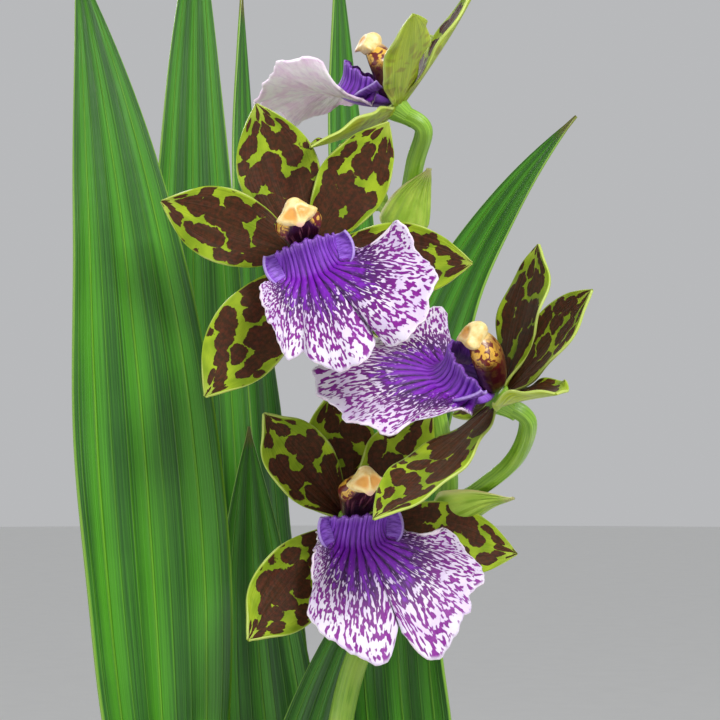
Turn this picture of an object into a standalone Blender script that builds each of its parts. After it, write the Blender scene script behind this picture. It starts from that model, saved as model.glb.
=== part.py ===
"""A zygopetalum orchid in flower, growing in a plain clay pot.

Metres, +Z up. The origin is the centre of the pot's base, and the blooms look mostly towards -Y.
"""

import math
import random

import bmesh
import bpy
from mathutils import Matrix, Vector, noise

# Clearance between pieces that touch
GAP = 0.0003

# The clay pot, a turned cup with a collar and four drain holes
POT_HEIGHT = 0.115
POT_BASE_RADIUS = 0.046
POT_TOP_RADIUS = 0.060
POT_WALL = 0.0045
POT_FLOOR = 0.006
COLLAR_HEIGHT = 0.020
COLLAR_RADIUS = 0.0655
POT_STEPS = 30
DRAIN_RADIUS = 0.004
DRAIN_RING = 0.026
DRAIN_COUNT = 4

# The bark that fills the pot
BARK_LEVEL = 0.101
BARK_STEPS = 30
CHIP_COUNT = 17
CHIP_LONG = 0.0165
CHIP_WIDE = 0.0105
CHIP_THICK = 0.0055
BARK_SEED = 7

# The pseudobulbs: centre, tilt about Y in degrees and size against the largest
BULB_HALF_WIDTH = 0.0150
BULB_HALF_DEPTH = 0.0115
BULB_HALF_HEIGHT = 0.0290
BULB_RIBS = 7
BULB_RIB_DEPTH = 0.035
BULBS = {
    "pseudobulb_1": (Vector((-0.027, 0.006, 0.1190)), -7.0, 0.96),
    "pseudobulb_2": (Vector((0.003, 0.013, 0.1200)), 0.0, 1.0),
    "pseudobulb_3": (Vector((0.033, 0.005, 0.1170)), 8.0, 0.88),
}

# The leaves: the midrib's four control points, full width, and the way the upper face looks at root and tip
LEAF_THICKNESS = 0.0009
LEAF_ROWS = 8
LEAF_COLUMNS = 6
LEAF_PLEAT = 0.0005
LEAF_NECK = 0.27
LEAF_FOLD_ROOT = 1.25
LEAF_FOLD_TIP = 0.30
LEAVES = {
    "leaf_1": (
        ((-34, 3, 130), (-62, -4, 238), (-48, -16, 366), (-75, -10, 480)),
        38, (0.9, 0.2, 0.3), (0.30, -0.95, 0.1),
    ),
    "leaf_2": (
        ((-27, 9, 138), (-42, 30, 235), (-55, 44, 380), (-50, 48, 505)),
        28, (0.4, -0.9, 0.2), (0.25, -0.95, 0.1),
    ),
    "leaf_3": (
        ((-20, 12, 130), (-20, 44, 225), (-42, 66, 345), (-40, 74, 484)),
        25, (0.2, -0.95, 0.2), (0.85, -0.5, 0.1),
    ),
    "leaf_4": (
        ((-28, 4, 118), (-58, -36, 180), (-92, -66, 252), (-136, -98, 216)),
        31, (0.6, 0.5, 0.6), (0.3, 0.25, 0.9),
    ),
    "leaf_5": (
        ((2, 15, 140), (0, 40, 235), (-12, 52, 360), (-15, 56, 494)),
        26, (0.1, -0.95, 0.2), (0.75, -0.65, 0.1),
    ),
    "leaf_6": (
        ((-3, 16, 122), (-17, 21, 190), (-36, 22, 290), (-36, 21, 371)),
        31, (0.9, 0.1, 0.3), (0.1, -1.0, 0.1),
    ),
    "leaf_7": (
        ((2, 6, 114), (-22, -10, 175), (-50, 1, 268), (2, 17, 347)),
        22, (0.6, 0.6, 0.4), (-0.3, -0.9, 0.3),
    ),
    "leaf_8": (
        ((4, 15, 136), (6, 66, 240), (-8, 104, 312), (-32, 152, 268)),
        33, (0.0, -0.8, 0.6), (0.1, -0.4, 0.9),
    ),
    "leaf_9": (
        ((34, 7, 136), (16, 24, 240), (-38, 27, 360), (44, 30, 447)),
        28, (-0.4, -0.9, 0.2), (-0.55, -0.8, 0.2),
    ),
    "leaf_10": (
        ((35, 4, 122), (74, -4, 214), (112, -12, 296), (164, -24, 244)),
        33, (-0.7, 0.0, 0.7), (-0.3, 0.0, 0.95),
    ),
    "leaf_11": (
        ((34, 2, 112), (50, -42, 172), (72, -84, 236), (98, -124, 196)),
        29, (-0.3, 0.6, 0.7), (-0.2, 0.3, 0.9),
    ),
}

# The flower spike: the points of its stalk, each with its radius
STALK = (
    ((-0.0120, -0.0160, 0.0900), 0.0036),
    ((-0.0140, -0.0150, 0.1500), 0.0034),
    ((-0.0160, -0.0110, 0.2150), 0.0032),
    ((-0.0160, -0.0050, 0.2750), 0.0030),
    ((-0.0125, 0.0000, 0.3080), 0.0029),
    ((-0.0035, 0.0040, 0.3300), 0.0028),
    ((0.0107, 0.0075, 0.3520), 0.0027),
    ((0.0093, 0.0070, 0.3720), 0.0026),
    ((0.0034, 0.0065, 0.3917), 0.0025),
    ((0.0005, 0.0080, 0.4172), 0.0022),
    ((-0.0046, 0.0120, 0.4247), 0.0012),
)
STALK_SIDES = 8
SHEATH_HEIGHTS = (0.140, 0.200, 0.262)
SHEATH_LENGTH = 0.027
SHEATH_RADIUS = 0.0043
BUD_LENGTH = 0.0085
BUD_RADIUS = 0.0026
PEDICEL_ROOT_RADIUS = 0.0021
PEDICEL_BELLY_RADIUS = 0.0029
PEDICEL_NECK_RADIUS = 0.0024
BRACT_LENGTH = 0.0175
BRACT_RADIUS = 0.0041

# One bloom in its own frame: X to its right, -Y the way it looks, +Z its crown
TEPAL_THICKNESS = 0.0008
TEPAL_START = 0.0026
TEPAL_ROWS = 7
TEPAL_COLUMNS = 4
RECEPTACLE_BACK = 0.0052
RECEPTACLE_FRONT = 0.0011
RECEPTACLE_BACK_RADIUS = 0.0025
RECEPTACLE_FRONT_RADIUS = 0.0036
LIP_THICKNESS = 0.0008
LIP_ROWS = 6
LIP_COLUMNS = 16
LIP_POLE = 0.0070
LIP_SWEEP = math.radians(85)
CREST_ROWS = 2
CREST_HEIGHT = 0.0095
CREST_SIDE_HEIGHT = 0.0050
CREST_HALF_WIDTH = 0.0066
NECK_HALF_WIDTH = 0.0080
NECK_AHEAD = 0.0023
NECK_HEIGHT = 0.0013
FOOT_BACK = 0.0014
RIB_DEPTH = 0.00035
COLUMN_PITCH = 45
COLUMN_HEIGHT = 0.0150
COLUMN_HALF_WIDTH = 0.0050
COLUMN_HALF_DEPTH = 0.0040
CAP_CENTRE = (0.0040, 0.0168)
CAP_RADII = (0.0029, 0.0033, 0.0028)

# Each tepal: turn from the crown, length, half width, lean forward, curl forward, cup, twist.
# The crest: how far in front of the bloom's centre it begins, and its depth.
# The lip's margin in millimetres, left to right: share of its sweep, then across, along and height.
BLOOMS = {
    "bloom_1": {
        "node": 9, "centre": (-0.0005, -0.0040, 0.4457),
        "face": (-0.80, -0.02, 0.58), "crown": (0.58, -0.15, 0.80),
        "size": 0.94, "pitch": 26, "crest": (0.0045, 0.0095),
        "margin": (
            (-1, -11, -1.2, 0), (-0.92, -11.6, 1.6, -1), (-0.84, -12.4, 5.6, 1.2), (-0.76, -15.5, 11, 6.5),
            (-0.7, -19.5, 12.6, 9.5), (-0.6, -22, 17, 10.3),
            (-0.5, -20.5, 21, 7.6), (-0.38, -17, 23.5, 4.3),
            (-0.27, -13, 24.6, 2.1), (-0.15, -8, 27, -1.5), (-0.06, -3, 28.2, -4.4), (-0.02, -0.8, 26, -4),
            (0.03, 1, 27.2, -5), (0.12, 4.5, 25, -6), (0.24, 9, 21.4, -7), (0.35, 14.5, 18.4, -8.5),
            (0.46, 17.5, 14, -6.5), (0.58, 17, 9.6, -4), (0.7, 13.6, 6.4, -1.6), (0.8, 11.4, 3.8, 0.6),
            (0.9, 11, 1.2, 1), (1, 11, -1.2, 1),
        ),
        "tepals": (
            (0, 0.036, 0.0080, -2, 10, 0.5, -12), (52, 0.038, 0.0080, 8, 14, 0.45, 20),
            (-58, 0.034, 0.0078, 2, 16, 0.5, -12), (118, 0.038, 0.0080, 10, 14, 0.6, 30),
            (-120, 0.036, 0.0080, 6, 10, 0.5, -10),
        ),
        "bends": ((0.0020, 0.0060, 0.4240), (0.0040, 0.0020, 0.4340)), "bract": (0.5, -0.8, 0.0),
    },
    "bloom_2": {
        "node": 8, "centre": (-0.0210, -0.0260, 0.4103),
        "face": (0.04, -0.99, 0.06), "crown": (-0.31, 0.0, 0.95),
        "size": 1.0, "pitch": 38, "crest": (0.0030, 0.0045),
        "margin": (
            (-1, -10.8, -3.4, 1), (-0.92, -11.6, -2, 1), (-0.84, -13.4, 0.2, 1.6), (-0.77, -16.8, 2.4, 4.8),
            (-0.71, -20.6, 3, 8.6), (-0.64, -22.4, 5.5, 6.8),
            (-0.56, -23.4, 9.3, 2.6), (-0.46, -25, 16.7, 0),
            (-0.37, -21.2, 23.5, -1), (-0.3, -18, 27.6, -2.5),
            (-0.22, -13.4, 29.7, -4), (-0.14, -9.2, 26.6, -5),
            (-0.11, -7.6, 19.5, -4.6), (-0.08, -7.2, 25, -5.8),
            (-0.02, -3, 29.2, -7.5), (0.08, 2.2, 28.1, -8),
            (0.18, 6.8, 23.4, -7), (0.24, 8.2, 19.6, -6), (0.31, 12.1, 19.6, -5), (0.41, 12.7, 14.8, -3),
            (0.52, 13.4, 9.4, -0.6), (0.63, 13, 5.8, 2.4), (0.72, 11.6, 2.8, 4.4), (0.8, 11, 0.6, 1.6),
            (0.9, 10.8, -1.4, 1), (1, 10.8, -3.4, 1),
        ),
        "tepals": (
            (0, 0.0372, 0.0092, -7, 8, 0.25, 4), (49, 0.0360, 0.0078, -5, 12, 0.30, -8),
            (-51, 0.0354, 0.0084, -4, 10, 0.25, 6), (110, 0.0375, 0.0086, -4, 8, 0.30, 4),
            (-126, 0.0395, 0.0090, 4, 6, 0.35, -8),
        ),
        "bends": ((-0.0030, -0.0010, 0.3960), (-0.0160, -0.0080, 0.4040)), "bract": (-0.2, 0.9, -0.4),
    },
    "bloom_3": {
        "node": 6, "centre": (0.0228, -0.0180, 0.3780),
        "face": (-0.776, -0.246, 0.578), "crown": (0.62, -0.446, 0.643),
        "size": 1.04, "pitch": 22, "crest": (0.0045, 0.0095),
        "margin": (
            (-1, -11.4, -1.2, -1), (-0.93, -12.4, 1.4, -1.6),
            (-0.86, -14.2, 5, -1.2), (-0.78, -18.5, 9.6, 0.6),
            (-0.68, -23, 12.6, 1.2), (-0.6, -25.6, 14.4, 0.4),
            (-0.52, -25.6, 17.6, -0.8), (-0.43, -23.7, 22, -3),
            (-0.34, -19.8, 25, -4.5), (-0.26, -16, 27, -5),
            (-0.18, -11.5, 30.3, -5.5), (-0.1, -7.5, 32.6, -5.5),
            (-0.03, -3.6, 34, -5.4), (0, -1, 31.6, -5), (0.04, 1.2, 33.2, -4.8), (0.14, 7, 29, -4),
            (0.26, 12, 24.6, -2.5), (0.4, 17, 19, 1), (0.52, 20.6, 14.2, 4), (0.62, 20.6, 9.5, 5.5),
            (0.7, 17.5, 7.4, 4), (0.8, 13.4, 4.2, 1.2), (0.9, 11.6, 1.2, 1), (1, 11.2, -1.2, 1),
        ),
        "tepals": (
            (0, 0.0345, 0.0082, 3, 4, 0.35, -22), (50, 0.0342, 0.0078, 0, 4, 0.5, 60),
            (-45, 0.0365, 0.0080, 14, 8, 0.25, -18), (118, 0.0465, 0.0088, 14, 8, 0.30, 42),
            (-120, 0.0352, 0.0082, -6, 2, 0.3, -8),
        ),
        "bends": ((0.0180, 0.0040, 0.3560), (0.0270, -0.0040, 0.3640)), "bract": (0.5, -0.5, -0.7),
    },
    "bloom_4": {
        "node": 5, "centre": (-0.0114, -0.0060, 0.3495),
        "face": (0.31, -0.945, 0.08), "crown": (-0.08, 0.0, 1.0),
        "size": 1.0, "pitch": 46, "crest": (0.0030, 0.0045),
        "margin": (
            (-1, -10.8, -3.4, 1), (-0.92, -11.6, -2, 1), (-0.84, -13, 0.4, 1.2), (-0.77, -15.8, 2.8, 3.2),
            (-0.7, -19.6, 4, 5.6), (-0.63, -22.4, 6.6, 4),
            (-0.56, -25.4, 9.6, 1.5), (-0.47, -26.3, 14.9, -1),
            (-0.38, -21.9, 18.7, -2), (-0.32, -20.9, 21.8, -3),
            (-0.25, -17.9, 24.3, -4.5), (-0.16, -13.9, 28.9, -7),
            (-0.08, -8.6, 29.6, -8.5), (-0.03, -4.9, 25.1, -7),
            (0, -4.4, 20.8, -6.5), (0.027, -1.3, 27.4, -8),
            (0.055, 1.3, 30.5, -8.5), (0.12, 6, 29.1, -8), (0.21, 11, 26.5, -6), (0.3, 14.9, 22.3, -3),
            (0.39, 17.5, 18.7, -1.5), (0.5, 14.9, 12.9, -1), (0.62, 13.8, 7.6, 0.6), (0.72, 12.2, 4.2, 3.6),
            (0.8, 11.2, 1.4, 1.4), (0.9, 10.8, -1, 1), (1, 10.8, -3.4, 1),
        ),
        "tepals": (
            (0, 0.0312, 0.0086, -8, 6, 0.25, 0), (44, 0.0335, 0.0078, -6, 10, 0.3, -6),
            (-38, 0.0347, 0.0080, 4, 20, 0.5, 10), (106, 0.0420, 0.0086, 4, -6, 0.35, 6),
            (-129, 0.0402, 0.0090, 4, 22, 0.45, -10),
        ),
        "bends": ((-0.0080, 0.0060, 0.3360), (-0.0120, 0.0060, 0.3440)), "bract": (0.6, 0.6, -0.4),
    },
}


def clear_scene():
    for obj in list(bpy.data.objects):
        bpy.data.objects.remove(obj)


def new_collection(name):
    collection = bpy.data.collections.new(name)
    bpy.context.scene.collection.children.link(collection)
    return collection


def make_material(name, colour, roughness):
    material = bpy.data.materials.new(name)
    material.use_nodes = True
    shader = material.node_tree.nodes["Principled BSDF"]
    shader.inputs["Base Color"].default_value = (*colour, 1.0)
    shader.inputs["Roughness"].default_value = roughness
    shader.inputs["Metallic"].default_value = 0.0
    return material


def place(name, mesh, material, collection, smooth=True):
    """An object of this mesh, in the collection, with its material."""
    mesh.materials.clear()
    mesh.materials.append(material)
    if smooth:
        mesh.shade_smooth()
    obj = bpy.data.objects.new(name, mesh)
    collection.objects.link(obj)
    return obj


def evaluated_mesh(obj):
    """The object's mesh as its modifiers leave it, in world space."""
    bpy.context.view_layer.update()
    graph = bpy.context.evaluated_depsgraph_get()
    mesh = bpy.data.meshes.new_from_object(obj.evaluated_get(graph))
    mesh.transform(obj.matrix_world)
    return mesh


def settle(obj):
    """Applies the modifiers of a helper: one plain object takes its place."""
    name, material, home = obj.name, obj.active_material, obj.users_collection[0]
    mesh = evaluated_mesh(obj)
    bpy.data.objects.remove(obj)
    return place(name, mesh, material, home)


def join_or_cut(obj, others, operation, solver):
    """One Boolean of the object with all the others together, which are then removed."""
    helpers = bpy.data.collections.new("boolean helpers")
    bpy.context.scene.collection.children.link(helpers)
    for other in others:
        for home in list(other.users_collection):
            home.objects.unlink(other)
        helpers.objects.link(other)
    boolean = obj.modifiers.new("Boolean", "BOOLEAN")
    boolean.operation = operation
    boolean.solver = solver
    boolean.operand_type = "COLLECTION"
    boolean.collection = helpers
    done = settle(obj)
    for other in list(helpers.objects):
        bpy.data.objects.remove(other)
    bpy.data.collections.remove(helpers)
    return done


def fuse(obj, repeats, solver="EXACT"):
    return join_or_cut(obj, repeats, "UNION", solver)


def cut(obj, cutters, solver="EXACT"):
    return join_or_cut(obj, cutters, "DIFFERENCE", solver)


def sheet(name, point_at, rows, columns, thickness, material, collection):
    """A thin curved blade: a grid moved to point_at(u along it, v from -1 to 1 across), then thickened."""
    shape = bmesh.new()
    bmesh.ops.create_grid(shape, x_segments=columns, y_segments=rows, size=1.0)
    for vert in shape.verts:
        vert.co = point_at((vert.co.y + 1) / 2, vert.co.x)
    bmesh.ops.triangulate(shape, faces=shape.faces)
    mesh = bpy.data.meshes.new(name)
    shape.to_mesh(mesh)
    shape.free()
    obj = place(name, mesh, material, collection)
    wall = obj.modifiers.new("Thickness", "SOLIDIFY")
    wall.thickness = thickness
    wall.offset = 0.0
    return settle(obj)


def ball(name, point_at, around, along, material, collection):
    """A closed rounded body: a UV sphere moved to point_at(direction), a unit vector."""
    shape = bmesh.new()
    bmesh.ops.create_uvsphere(shape, u_segments=around, v_segments=along, radius=1.0)
    for vert in shape.verts:
        vert.co = point_at(vert.co.copy())
    bmesh.ops.recalc_face_normals(shape, faces=shape.faces)
    mesh = bpy.data.meshes.new(name)
    shape.to_mesh(mesh)
    shape.free()
    return place(name, mesh, material, collection)


def arc_section(half_width, half_angle, v):
    """How far across and how far up a point of an arched cross-section lies, at v from -1 to 1."""
    radius = half_width / max(half_angle, 0.02)
    turn = max(half_angle, 0.02) * v
    return radius * math.sin(turn), radius * (1 - math.cos(turn))


def mix(a, b, t):
    return a + (b - a) * t


def smooth_step(low, high, x):
    t = min(1.0, max(0.0, (x - low) / (high - low)))
    return t * t * (3 - 2 * t)


def smooth_path(points, radii, per_span):
    """Points and radii on a smooth curve through the given ones (Catmull-Rom)."""
    path, sizes = [], []
    last = len(points) - 1
    for i in range(last):
        a, b, c, d = (points[min(max(k, 0), last)] for k in (i - 1, i, i + 1, i + 2))
        for step in range(per_span):
            t = step / per_span
            bend = (2 * a - 5 * b + 4 * c - d) * t**2 + (3 * b - a - 3 * c + d) * t**3
            path.append(0.5 * (2 * b + (c - a) * t + bend))
            sizes.append(mix(radii[i], radii[i + 1], t))
    return path + [points[-1]], sizes + [radii[-1]]


def tube(name, points, radii, sides, material, collection):
    """A round stem along the points, as a closed mesh."""
    curve = bpy.data.curves.new(name, "CURVE")
    curve.dimensions = "3D"
    curve.bevel_depth = 1.0
    curve.bevel_resolution = max(1, sides // 2 - 2)
    curve.use_fill_caps = True
    spline = curve.splines.new("POLY")
    spline.points.add(len(points) - 1)
    for slot, point, radius in zip(spline.points, points, radii):
        slot.co = (*point, 1.0)
        slot.radius = radius
    guide = bpy.data.objects.new(name, curve)
    collection.objects.link(guide)
    mesh = evaluated_mesh(guide)
    bpy.data.objects.remove(guide)
    shape = bmesh.new()
    shape.from_mesh(mesh)
    bmesh.ops.remove_doubles(shape, verts=shape.verts, dist=0.00001)
    shape.to_mesh(mesh)
    shape.free()
    return place(name, mesh, material, collection)


def turned(name, profile, steps, material, collection):
    """A body turned about Z from (radius, height) points, listed from the top down its outer side."""
    shape = bmesh.new()
    verts = [shape.verts.new((radius, 0.0, height)) for radius, height in profile]
    for a, b in zip(verts, verts[1:]):
        shape.edges.new((a, b))
    mesh = bpy.data.meshes.new(name)
    shape.to_mesh(mesh)
    shape.free()
    obj = place(name, mesh, material, collection, smooth=False)
    screw = obj.modifiers.new("Turn", "SCREW")
    screw.steps = steps
    screw.render_steps = steps
    screw.use_merge_vertices = True
    screw.merge_threshold = 0.00001
    return settle(obj)


def pot_inner_radius(height):
    share = height / POT_HEIGHT
    return mix(POT_BASE_RADIUS, POT_TOP_RADIUS, share) - POT_WALL


def build_pot(material, collection):
    """A tapered cup with a collar round its mouth, and drain holes through its floor."""
    shoulder = POT_HEIGHT - COLLAR_HEIGHT
    shoulder_radius = mix(POT_BASE_RADIUS, POT_TOP_RADIUS, shoulder / POT_HEIGHT)
    profile = (
        (pot_inner_radius(POT_HEIGHT) + 0.001, POT_HEIGHT),
        (COLLAR_RADIUS - 0.001, POT_HEIGHT),
        (COLLAR_RADIUS, POT_HEIGHT - 0.0015),
        (COLLAR_RADIUS - 0.0012, shoulder + 0.001),
        (COLLAR_RADIUS - 0.0022, shoulder),
        (shoulder_radius, shoulder),
        (POT_BASE_RADIUS + 0.0006, 0.0015),
        (POT_BASE_RADIUS - 0.001, 0.0),
        (0.0, 0.0),
    )
    inside = (
        (0.0, POT_FLOOR),
        (pot_inner_radius(POT_FLOOR), POT_FLOOR),
        (pot_inner_radius(POT_HEIGHT), POT_HEIGHT - 0.0015),
        (pot_inner_radius(POT_HEIGHT) + 0.001, POT_HEIGHT),
    )
    pot = turned("pot", profile + inside, POT_STEPS, material, collection)
    drills = []
    for i in range(DRAIN_COUNT):
        turn = math.tau * (i + 0.5) / DRAIN_COUNT
        bpy.ops.mesh.primitive_cylinder_add(
            vertices=16, radius=DRAIN_RADIUS, depth=4 * POT_FLOOR,
            location=(DRAIN_RING * math.cos(turn), DRAIN_RING * math.sin(turn), POT_FLOOR / 2),
        )
        drills.append(bpy.context.object)
    return cut(pot, drills)


def build_bark(material, collection):
    """The bark filling: a plug that fits the pot, with loose chips half sunk in its top."""
    low = POT_FLOOR + GAP
    profile = (
        (0.0, BARK_LEVEL),
        (pot_inner_radius(BARK_LEVEL) - GAP, BARK_LEVEL - 0.002),
        (pot_inner_radius(low) - GAP, low),
        (0.0, low),
    )
    plug = turned("potting_bark", profile, BARK_STEPS, material, collection)
    draw = random.Random(BARK_SEED)
    chips = []
    golden = math.pi * (3 - math.sqrt(5))
    for i in range(CHIP_COUNT):
        reach = (pot_inner_radius(BARK_LEVEL) - 0.0115) * math.sqrt((i + 0.5) / CHIP_COUNT)
        turn = golden * i
        bpy.ops.mesh.primitive_cube_add(size=1.0)
        chip = bpy.context.object
        long_side = CHIP_LONG * draw.uniform(0.7, 1.15)
        sides = (long_side, CHIP_WIDE * draw.uniform(0.75, 1.2), CHIP_THICK * draw.uniform(0.8, 1.4))
        for vert in chip.data.vertices:
            corner = Vector(vert.co[k] * sides[k] * draw.uniform(0.82, 1.1) for k in range(3))
            vert.co = corner
        tilt = (draw.uniform(-0.35, 0.35), draw.uniform(-0.35, 0.35), draw.uniform(0, math.pi))
        chip.rotation_euler = tilt
        lift = draw.uniform(-0.0006, 0.0022)
        chip.location = (reach * math.cos(turn), reach * math.sin(turn), BARK_LEVEL + lift)
        chips.append(chip)
    return fuse(plug, chips)


def bulb_point(spec, grow):
    """The form of a pseudobulb: an egg, drawn in at the top, with shallow upright ribs."""
    centre, tilt, size = spec
    turn = Matrix.Rotation(math.radians(tilt), 3, "Y")

    def point_at(direction):
        belly = 1.0 - 0.22 * direction.z - 0.10 * max(0.0, direction.z) ** 3
        around = math.atan2(direction.y, direction.x)
        belly *= 1.0 + BULB_RIB_DEPTH * math.cos(BULB_RIBS * around) * (1 - direction.z**2)
        local = Vector((
            direction.x * belly * (BULB_HALF_WIDTH * size + grow),
            direction.y * belly * (BULB_HALF_DEPTH * size + grow),
            direction.z * (BULB_HALF_HEIGHT * size + grow),
        ))
        return centre + turn @ local

    return point_at


def build_bulb(name, material, collection, grow=0.0):
    return ball(name, bulb_point(BULBS[name], grow), 14, 8, material, collection)


def bezier(points, t):
    a, b, c, d = points
    return a * (1 - t) ** 3 + b * 3 * (1 - t) ** 2 * t + c * 3 * (1 - t) * t**2 + d * t**3


def bezier_heading(points, t):
    a, b, c, d = points
    return ((b - a) * (1 - t) ** 2 + (c - b) * 2 * (1 - t) * t + (d - c) * t**2).normalized()


def leaf_half_width(u, full):
    """A strap: a narrow folded neck, widest past the middle, and a long pointed tip."""
    swell = LEAF_NECK + (1 - LEAF_NECK) * smooth_step(0.0, 0.52, u)
    taper = 1.0 if u < 0.55 else max(0.0, 1 - ((u - 0.55) / 0.45) ** 2.1)
    return full / 2 * swell * max(taper, 0.02)


def leaf_point(spec):
    controls, full, face_root, face_tip = spec
    controls = [Vector(point) / 1000 for point in controls]
    full = full / 1000
    face_root, face_tip = Vector(face_root), Vector(face_tip)

    def point_at(u, v):
        spine = bezier(controls, u)
        heading = bezier_heading(controls, u)
        face = face_root.lerp(face_tip, smooth_step(0.05, 0.8, u))
        face = (face - heading * face.dot(heading)).normalized()
        side = heading.cross(face)
        half = leaf_half_width(u, full)
        fold = mix(LEAF_FOLD_ROOT, LEAF_FOLD_TIP, smooth_step(0.0, 0.45, u))
        across, rise = arc_section(half, fold, v)
        pleat = LEAF_PLEAT * math.cos(3 * math.pi * v) * min(1.0, half / 0.010) * (1 - v * v)
        return spine + side * across + face * (rise - pleat)

    return point_at


def build_leaf(name, material, collection, bulb_name):
    """A pleated strap leaf, its neck cut to sit on the pseudobulb it grows from."""
    form = leaf_point(LEAVES[name])
    leaf = sheet(name, form, LEAF_ROWS, LEAF_COLUMNS, LEAF_THICKNESS, material, collection)
    return cut(leaf, [build_bulb(bulb_name, material, collection, grow=GAP)])


def bloom_frame(spec):
    """Matrix from the bloom's own frame to the object's."""
    back = -Vector(spec["face"]).normalized()
    crown = Vector(spec["crown"])
    crown = (crown - back * crown.dot(back)).normalized()
    right = back.cross(crown)
    turn = Matrix((right, back, crown)).transposed().to_4x4()
    return Matrix.Translation(spec["centre"]) @ turn @ Matrix.Scale(spec["size"], 4)


def tepal_half_width(u, half):
    """Narrow at the root, widest past the middle, ending in a short point."""
    blade = math.sin(math.pi * u**1.16) ** 0.88 if 0 < u < 1 else 0.0
    return half * max(0.24 * (1 - u) ** 1.5 + 0.95 * blade, 0.045)


def tepal_point(tepal, frame):
    turn, length, half, lean, curl, cup, twist = tepal
    turn, lean, curl, twist = (math.radians(x) for x in (turn, lean, curl, twist))
    outward = Vector((math.sin(turn), 0, math.cos(turn)))
    forward = Vector((0, -1, 0))
    tangent = Vector((math.cos(turn), 0, -math.sin(turn)))
    curl = curl if abs(curl) > 0.01 else 0.01

    def point_at(u, v):
        bend = lean + curl * u
        start = outward * math.cos(lean) + forward * math.sin(lean)
        spine = outward * (math.sin(bend) - math.sin(lean)) - forward * (math.cos(bend) - math.cos(lean))
        spine = spine * (length - TEPAL_START) / curl + start * TEPAL_START
        normal = forward * math.cos(bend) - outward * math.sin(bend)
        roll = twist * (0.25 + 0.75 * u)
        side = tangent * math.cos(roll) + normal * math.sin(roll)
        normal = normal * math.cos(roll) - tangent * math.sin(roll)
        across, rise = arc_section(tepal_half_width(u, half), cup * (0.35 + 0.9 * u), v)
        return frame @ (spine + side * across + normal * rise)

    return point_at


def build_tepals(bloom, material, collection):
    """The three sepals and two petals, grown together at the receptacle behind them."""
    spec = BLOOMS[bloom]
    frame = bloom_frame(spec)
    height = RECEPTACLE_BACK + RECEPTACLE_FRONT
    shape = bmesh.new()
    bmesh.ops.create_cone(
        shape, cap_ends=True, segments=10,
        radius1=RECEPTACLE_BACK_RADIUS, radius2=RECEPTACLE_FRONT_RADIUS, depth=height,
    )
    # The cone stands along Z: laid forwards, its wide end faces -Y
    middle = Matrix.Translation((0, (RECEPTACLE_BACK - RECEPTACLE_FRONT) / 2, 0))
    shape.transform(frame @ middle @ Matrix.Rotation(math.pi / 2, 4, "X"))
    mesh = bpy.data.meshes.new("receptacle")
    shape.to_mesh(mesh)
    shape.free()
    receptacle = place(f"{bloom}_tepals", mesh, material, collection)
    blades = []
    for i, tepal in enumerate(spec["tepals"]):
        form = tepal_point(tepal, frame)
        blade = sheet(f"tepal {i}", form, TEPAL_ROWS, TEPAL_COLUMNS, TEPAL_THICKNESS, material, collection)
        blades.append(blade)
    return fuse(receptacle, blades)


def pitched_frame(spec, pitch):
    """Matrix to the object's frame from axes tipped down from the bloom's gaze: X across, Y along, Z up."""
    pitch = math.radians(pitch)
    along = Vector((0, -math.cos(pitch), -math.sin(pitch)))
    up = Vector((0, -math.sin(pitch), math.cos(pitch)))
    across = along.cross(up)
    turn = Matrix((across, along, up)).transposed().to_4x4()
    return bloom_frame(spec) @ turn


def lip_frame(spec):
    return pitched_frame(spec, spec["pitch"])


def margin_at(points, v):
    """The place of the lip's margin at v, on a smooth curve through points of (v, x, y, height)."""
    last = len(points) - 1
    k = next(i for i in range(1, last + 1) if v <= points[i][0] or i == last)
    before, low, high, after = (Vector(points[min(max(i, 0), last)]) for i in range(k - 2, k + 2))
    span = high[0] - low[0]
    t = (v - low[0]) / span
    leave = (high - before) * (span / (high[0] - before[0]))
    enter = (after - low) * (span / (after[0] - low[0]))
    ahead = low * (2 * t**3 - 3 * t**2 + 1) + leave * (t**3 - 2 * t**2 + t)
    behind = high * (3 * t**2 - 2 * t**3) + enter * (t**3 - t**2)
    return Vector((ahead + behind)[1:]) / 1000


def lip_point(spec):
    """The lip as one sheet: a ribbed horseshoe crest round the column, flaring into the fan."""
    frame = lip_frame(spec)
    split = CREST_ROWS / LIP_ROWS
    pole, depth = spec["crest"]

    def point_at(u, v):
        angle = v * LIP_SWEEP
        ribs = math.cos(math.pi * LIP_COLUMNS / 2 * (v + 1)) * RIB_DEPTH
        if u <= split:
            t = u / split
            across = mix(CREST_HALF_WIDTH, NECK_HALF_WIDTH, t**0.8)
            along = depth + NECK_AHEAD * t**1.3
            crest = mix(CREST_SIDE_HEIGHT, CREST_HEIGHT, max(0.0, math.cos(angle * 0.9)) ** 1.2)
            height = mix(NECK_HEIGHT, crest, (1 - t) ** 1.45) + ribs * (0.6 + 0.4 * t)
            return frame @ Vector((across * math.sin(angle), pole + along * math.cos(angle), height))
        t = (u - split) / (1 - split)
        reach = (depth + NECK_AHEAD) * math.cos(angle)
        neck = Vector((NECK_HALF_WIDTH * math.sin(angle), pole + reach, NECK_HEIGHT))
        edge = margin_at(spec["margin"], v) + Vector((0, LIP_POLE, 0))
        flat = neck.lerp(edge, t)
        height = mix(neck.z, edge.z, t**1.7) + 0.0008 * t**2 * math.sin(9 * angle + 0.6)
        return frame @ Vector((flat.x, flat.y, height + ribs * max(0.0, 1 - 1.4 * t)))

    return point_at


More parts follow.
